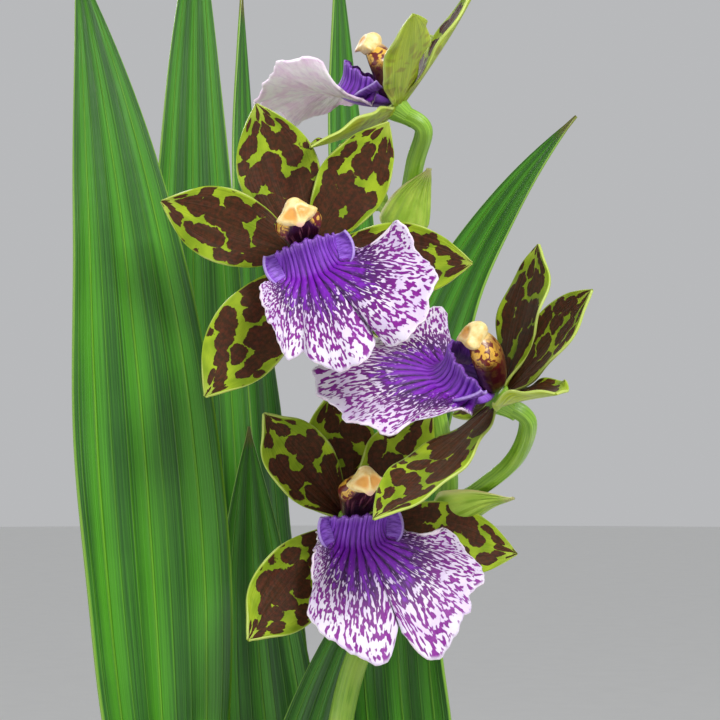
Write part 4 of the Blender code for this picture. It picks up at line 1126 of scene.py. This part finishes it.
def lip_skin():
    """White petal veined with violet: solid deep violet at the throat, dashes towards the edge."""
    skin = Finish("veined lip", glow=(0.08, (1.0, 0.6, 1.0), 0.001))
    v, u = skin.both("share")
    t = (u - lip_split) / (1 - lip_split)
    wander = skin.streaks(v * 5, u * 4)
    drift = skin.streaks(v * 4, u * 5, 9.0)
    along_veins = v * 62 + (wander - 0.5) * 3
    dashes = skin.streaks(along_veins, u * 17, 4.0, 1.0, 0.4)
    fine = skin.streaks(along_veins * 1.6, u * 32, 7.0, 1.0, 0.4)
    grain = skin.streaks(v * 210, u * 120, 2.0)
    lines = (v * crest_ribs * math.pi + (wander - 0.5) * 1.2).cos()
    middle = abs(v).fall(0.20, 0.80)
    dashed = dashes * 0.68 + fine * 0.32 + t.fall(0.20, 0.75) * 0.10 - t.rise(0.66, 1.0) * 0.035
    mark = (dashed - lines * 0.012).rise(0.478, 0.520) * t.fall(0.965, 1.0)
    white = skin.blend(drift.rise(0.35, 0.65), (224, 216, 230), (208, 190, 222))
    white = skin.blend(t.fall(0.10, 0.50) * 0.80, white, (160, 58, 208))
    magenta = skin.blend(t.rise(0.30, 0.80), (66, 0, 88), (128, 0, 138))
    magenta = skin.blend(fine.rise(0.5, 0.7) * 0.3, magenta, (60, 0, 78))
    fan = skin.blend(mark, white, magenta)
    deep = skin.blend(lines.fall(-0.90, 0.35), (112, 0, 166), (28, 0, 44))
    deep = skin.blend((dashes + grain * 0.3).rise(0.60, 0.90) * 0.45, deep, (146, 40, 196))
    spread = (drift - 0.5) * 0.20 - middle * 0.34 - abs(v).rise(0.74, 0.92) * 0.8
    soak = (t - (dashes - 0.5) * 0.90 + spread).fall(-0.08, 0.16)
    body = skin.blend(soak, fan, deep)
    crest = (u + (grain - 0.5) * 0.04 + (drift - 0.5) * 0.16).fall(lip_split * 0.10, lip_split * 1.05)
    flute = skin.streaks(v * 46, u * 4, 6.0, 2, 0.6)
    keel = (v * crest_ribs * math.pi).cos() * 0.30 + (flute - 0.5) * 2.6
    crest_body = skin.blend(keel.rise(-0.55, 0.6), (92, 14, 150), (146, 82, 208))
    crest_body = skin.blend(u.fall(0.0, 0.06) * 0.30, crest_body, (168, 132, 208))
    body = skin.blend(crest, body, crest_body)
    ribs = lines * 0.30 * t.fall(0.3, 1.0) + keel * crest * 0.4
    height = grain * 0.3 + mark * t.rise(0.22, 0.58) * 0.25 + ribs
    return skin.finished(body, 0.42 + grain * 0.25, height, 0.00030)


def ear_skin():
    """Pale violet with fine darker streaks along its length and a paler rim."""
    skin = Finish("ear violet", glow=(0.08, (1.0, 0.6, 1.0), 0.001))
    v, u = skin.both("share")
    streak = skin.streaks(v * 7, u * 1.5, 3.0, 3, 0.6)
    body = skin.blend(streak.rise(0.3, 0.65), (92, 24, 146), (148, 94, 210))
    body = skin.blend(abs(v).largest(u).rise(0.86, 1.0) * 0.6, body, (188, 166, 226))
    return skin.finished(body, 0.4 + streak * 0.2, streak, 0.0002)


def lip_underside():
    """White flushed with pink, with the veins only just showing through."""
    skin = Finish("lip underside", glow=(0.12, (1.0, 0.6, 1.0), 0.001))
    v, u = skin.both("share")
    wander = skin.streaks(v * 5, u * 5, 0.0, 3, 0.55)
    veins = skin.streaks(v * 62, u * 9, 4.0)
    body = skin.blend(wander.rise(0.35, 0.65), (250, 240, 248), (240, 208, 236))
    body = skin.blend(veins.rise(0.52, 0.7) * 0.22, body, (180, 130, 204))
    body = skin.blend(u.fall(lip_split * 0.9, lip_split * 1.5) * 0.55, body, (236, 226, 200))
    body = skin.blend(u.fall(lip_split * 0.15, lip_split * 0.60), body, (112, 56, 160))
    return skin.finished(body, 0.45 + wander * 0.15, veins, 0.0002)


veined, underside, violet = lip_skin(), lip_underside(), ear_skin()
for name, spec in blooms.items():
    turned_to = pitched_frame(spec, spec["pitch"])
    fan = blade(
        "fan", lip_point(spec), *lip_mesh, lip_thickness, [veined, underside], (0.03, 0.03), (0.0, 0.0),
        veins=lip_veins, vein_height=lip_vein_height, tip_waves=5.0, tip_wave_height=lip_tip_wave,
    )
    ears = [
        blade(
            f"ear {hand}", ear_point(spec, hand), *ear_mesh, lip_thickness, [violet, violet],
            (0.002, 0.006), (0.0, 0.0),
        )
        for hand in (-1, 1)
    ]
    foot_front = sum(spec["crest"]) + 0.0010
    foot_middle = (foot_front + foot_back) / 2

    def foot_point(direction):
        y = foot_middle + direction.y * (foot_front - foot_middle)
        z = foot_level + direction.z * foot_half_height
        return turned_to @ Vector((direction.x * foot_half_width, y, z))

    foot = ball("foot", foot_point, *foot_mesh, [violet], lambda d: (d.x, 0.5))
    dress(joined(f"{name}_veined_lip", [fan, *ears, foot]), f"{name}_lip")


# The columns
# The short thick stalk in the middle of each bloom, hollow along its front below the cap.
# Its sides are yellow with maroon blotches, and its hollow is dark maroon with pale stripes.

column_pitch = 45
column_height = 0.0150
column_half_width = 0.0050
column_half_depth = 0.0040
column_foot = (0.0014, 0.0024)
column_mesh = (64, 48)


def column_skin():
    """Yellow with maroon patches that close up towards the foot, and a dark striped hollow in front."""
    skin = Finish("column skin", coat=(0.25, 0.2))
    share, where = skin.uv("share"), skin.place()
    turn, height = skin.part(share, 0), skin.part(share, 1)
    patches = skin.noise(where, 620, 2, 0.5, 0.6)
    stripes = skin.streaks(turn * 9, height * 2.2, 1.5, 2, 0.55)
    front = (abs(turn) + height.rise(0.40, 0.72) * 0.50).fall(1.02, 1.26) * height.fall(0.80, 0.90)
    sides = skin.blend(patches.rise(0.45, 0.53), (222, 172, 62), (104, 26, 22))
    sides = skin.blend((height + (patches - 0.5) * 0.7).fall(0.46, 0.72) * 0.92, sides, (62, 6, 22))
    sides = skin.blend(abs(turn).rise(2.3, 2.9) * 0.6, sides, (96, 44, 40))
    hollow = skin.blend(stripes.rise(0.50, 0.68), (44, 4, 20), (128, 70, 84))
    hollow = skin.blend(height.fall(0.2, 0.5) * 0.8, hollow, (48, 4, 34))
    body = skin.blend(front, sides, hollow)
    body = skin.blend(height.rise(0.86, 0.97) * 0.8, body, (238, 204, 128))
    return skin.finished(body, 0.28 + patches * 0.15, patches * 0.5 + stripes * front * 0.6, 0.0003)


def column_point(spec):
    turned_to = pitched_frame(spec, column_pitch)

    def point_at(direction):
        t = (1 + direction.z) / 2
        around = math.atan2(direction.x, direction.y)
        waist = max(0.0, 1 - direction.z**2) ** (0.32 if direction.z < 0 else 0.45)
        wings = 1.0 + 0.32 * math.exp(-(((t - 0.66) / 0.18) ** 2))
        hollow = 0.42 * math.exp(-((around / 0.75) ** 2)) * math.sin(math.pi * min(1.0, 0.12 + t))
        across = column_half_width * (0.78 + 0.1 * t) * wings * waist * math.sin(around)
        along = column_half_depth * waist * math.cos(around) * (1 - hollow)
        return turned_to @ Vector((
            across, column_foot[0] + 0.0018 * t**2 + along, column_foot[1] + column_height * t,
        ))

    return point_at


column_finish = column_skin()
for name, spec in blooms.items():
    column = ball(
        f"{name}_striped_column", column_point(spec), *column_mesh, [column_finish],
        lambda d: (math.atan2(d.x, d.y), (1 + d.z) / 2),
    )
    dress(column, f"{name}_column")


# The anther caps
# A small cream hood on the tip of each column, with two orange hollows over the pollen and a short beak.

cap_centre = (0.0040, 0.0168)
cap_radii = (0.0029, 0.0033, 0.0028)
cap_mesh = (56, 40)
cap_hollows = [Vector((side, 0.72, 0.60)).normalized() for side in (-0.40, 0.40)]
cap_beak = Vector((0, 0.98, 0.02)).normalized()
cap_foot = Vector((0, 0.70, -0.71))
beak_length = 0.0012


def cap_skin():
    """Mottled cream, orange in the two hollows and pink at the beak."""
    skin = Finish("cap skin", glow=(0.2, (1.0, 0.7, 0.4), 0.001))
    share, where = skin.uv("share"), skin.place()
    pit, beak = skin.part(share, 0), skin.part(share, 1)
    mottle = skin.noise(where, 700, 3)
    body = skin.blend(mottle.rise(0.35, 0.7), (244, 222, 160), (232, 194, 116))
    body = skin.blend(pit.rise(0.05, 0.80) * 0.9, body, (226, 156, 64))
    body = skin.blend(beak.rise(0.4, 0.9) * 0.8, body, (222, 168, 160))
    return skin.finished(body, 0.35 + mottle * 0.2, mottle, 0.0002)


def cap_marks(direction):
    """How deep in a hollow, and how near the beak, a point of the cap lies."""
    pit = max(math.exp(-((direction - hollow).length / 0.50) ** 4) for hollow in cap_hollows)
    pit *= 1 - 0.85 * math.exp(-((direction.x / 0.07) ** 2))
    beak = math.exp(-((direction - cap_beak).length / 0.30) ** 2)
    return pit, beak


def cap_point(spec):
    turned_to = pitched_frame(spec, column_pitch)
    y, z = cap_centre
    along, across, high = cap_radii

    def point_at(direction):
        pit, beak = cap_marks(direction)
        lower = direction.dot(cap_foot)
        flare = 1 + 0.50 * smooth_step(-0.35, 0.30, lower) - 0.16 * smooth_step(0.0, 0.95, -lower)
        size = 1 - 0.22 * pit
        peak = 0.0005 * smooth_step(0.60, 1.0, -lower)
        return turned_to @ Vector((
            direction.x * across * size * flare,
            y + direction.y * along * size + beak_length * beak - 0.7 * peak,
            z + direction.z * high * size - beak_length * beak + 0.7 * peak,
        ))

    return point_at


cap_finish = cap_skin()
for name, spec in blooms.items():
    cap = ball(f"{name}_cream_cap", cap_point(spec), *cap_mesh, [cap_finish], cap_marks)
    dress(cap, f"{name}_anther_cap")


# The setting
# A plain pale floor that the pot stands on, three soft lamps, and the camera close in front of the blooms.
# Each lamp is its place, its size in metres and its power in watts.

floor_radius = 6.0
floor_shape = bmesh.new()
bmesh.ops.create_circle(floor_shape, cap_ends=True, segments=96, radius=floor_radius)
floor_finish = Finish("pale floor", roughness=0.8)
floor_marks = floor_finish.noise(floor_finish.place(), 30, 3)
floor_colour = floor_finish.blend(floor_marks, (232, 232, 230), (238, 238, 236))
floor = plain_piece("floor", floor_shape, [floor_finish.finished(floor_colour)])

sight = Vector((-0.0091, -0.010, 0.3871))
camera_distance = 0.66
camera_lens = 142.5
lamps = {
    "key": ((0.55, -0.75, 1.15), 0.40, 14.5),
    "fill": ((-0.95, -0.60, 0.55), 0.9, 4.0),
    "rim": ((-0.45, 0.80, 0.95), 0.7, 7.5),
}
for name, (where, size, power) in lamps.items():
    lamp = bpy.data.lights.new(name, "AREA")
    lamp.energy = power
    lamp.size = size
    lamp_object = bpy.data.objects.new(name, lamp)
    lamp_object.location = where
    lamp_object.rotation_euler = (sight - Vector(where)).to_track_quat("-Z", "Y").to_euler()
    bpy.context.scene.collection.objects.link(lamp_object)

world = bpy.data.worlds.new("studio")
world.use_nodes = True
background = world.node_tree.nodes["Background"]
background.inputs["Color"].default_value = (0.80, 0.81, 0.83, 1.0)
background.inputs["Strength"].default_value = 0.60
bpy.context.scene.world = world
bpy.context.scene.view_settings.view_transform = "Standard"

camera = bpy.data.cameras.new("camera")
camera.lens = camera_lens
camera_object = bpy.data.objects.new("camera", camera)
camera_object.location = sight + Vector((0, -camera_distance, 0))
camera_object.rotation_euler = (math.pi / 2, 0, 0)
bpy.context.scene.collection.objects.link(camera_object)
bpy.context.scene.camera = camera_object
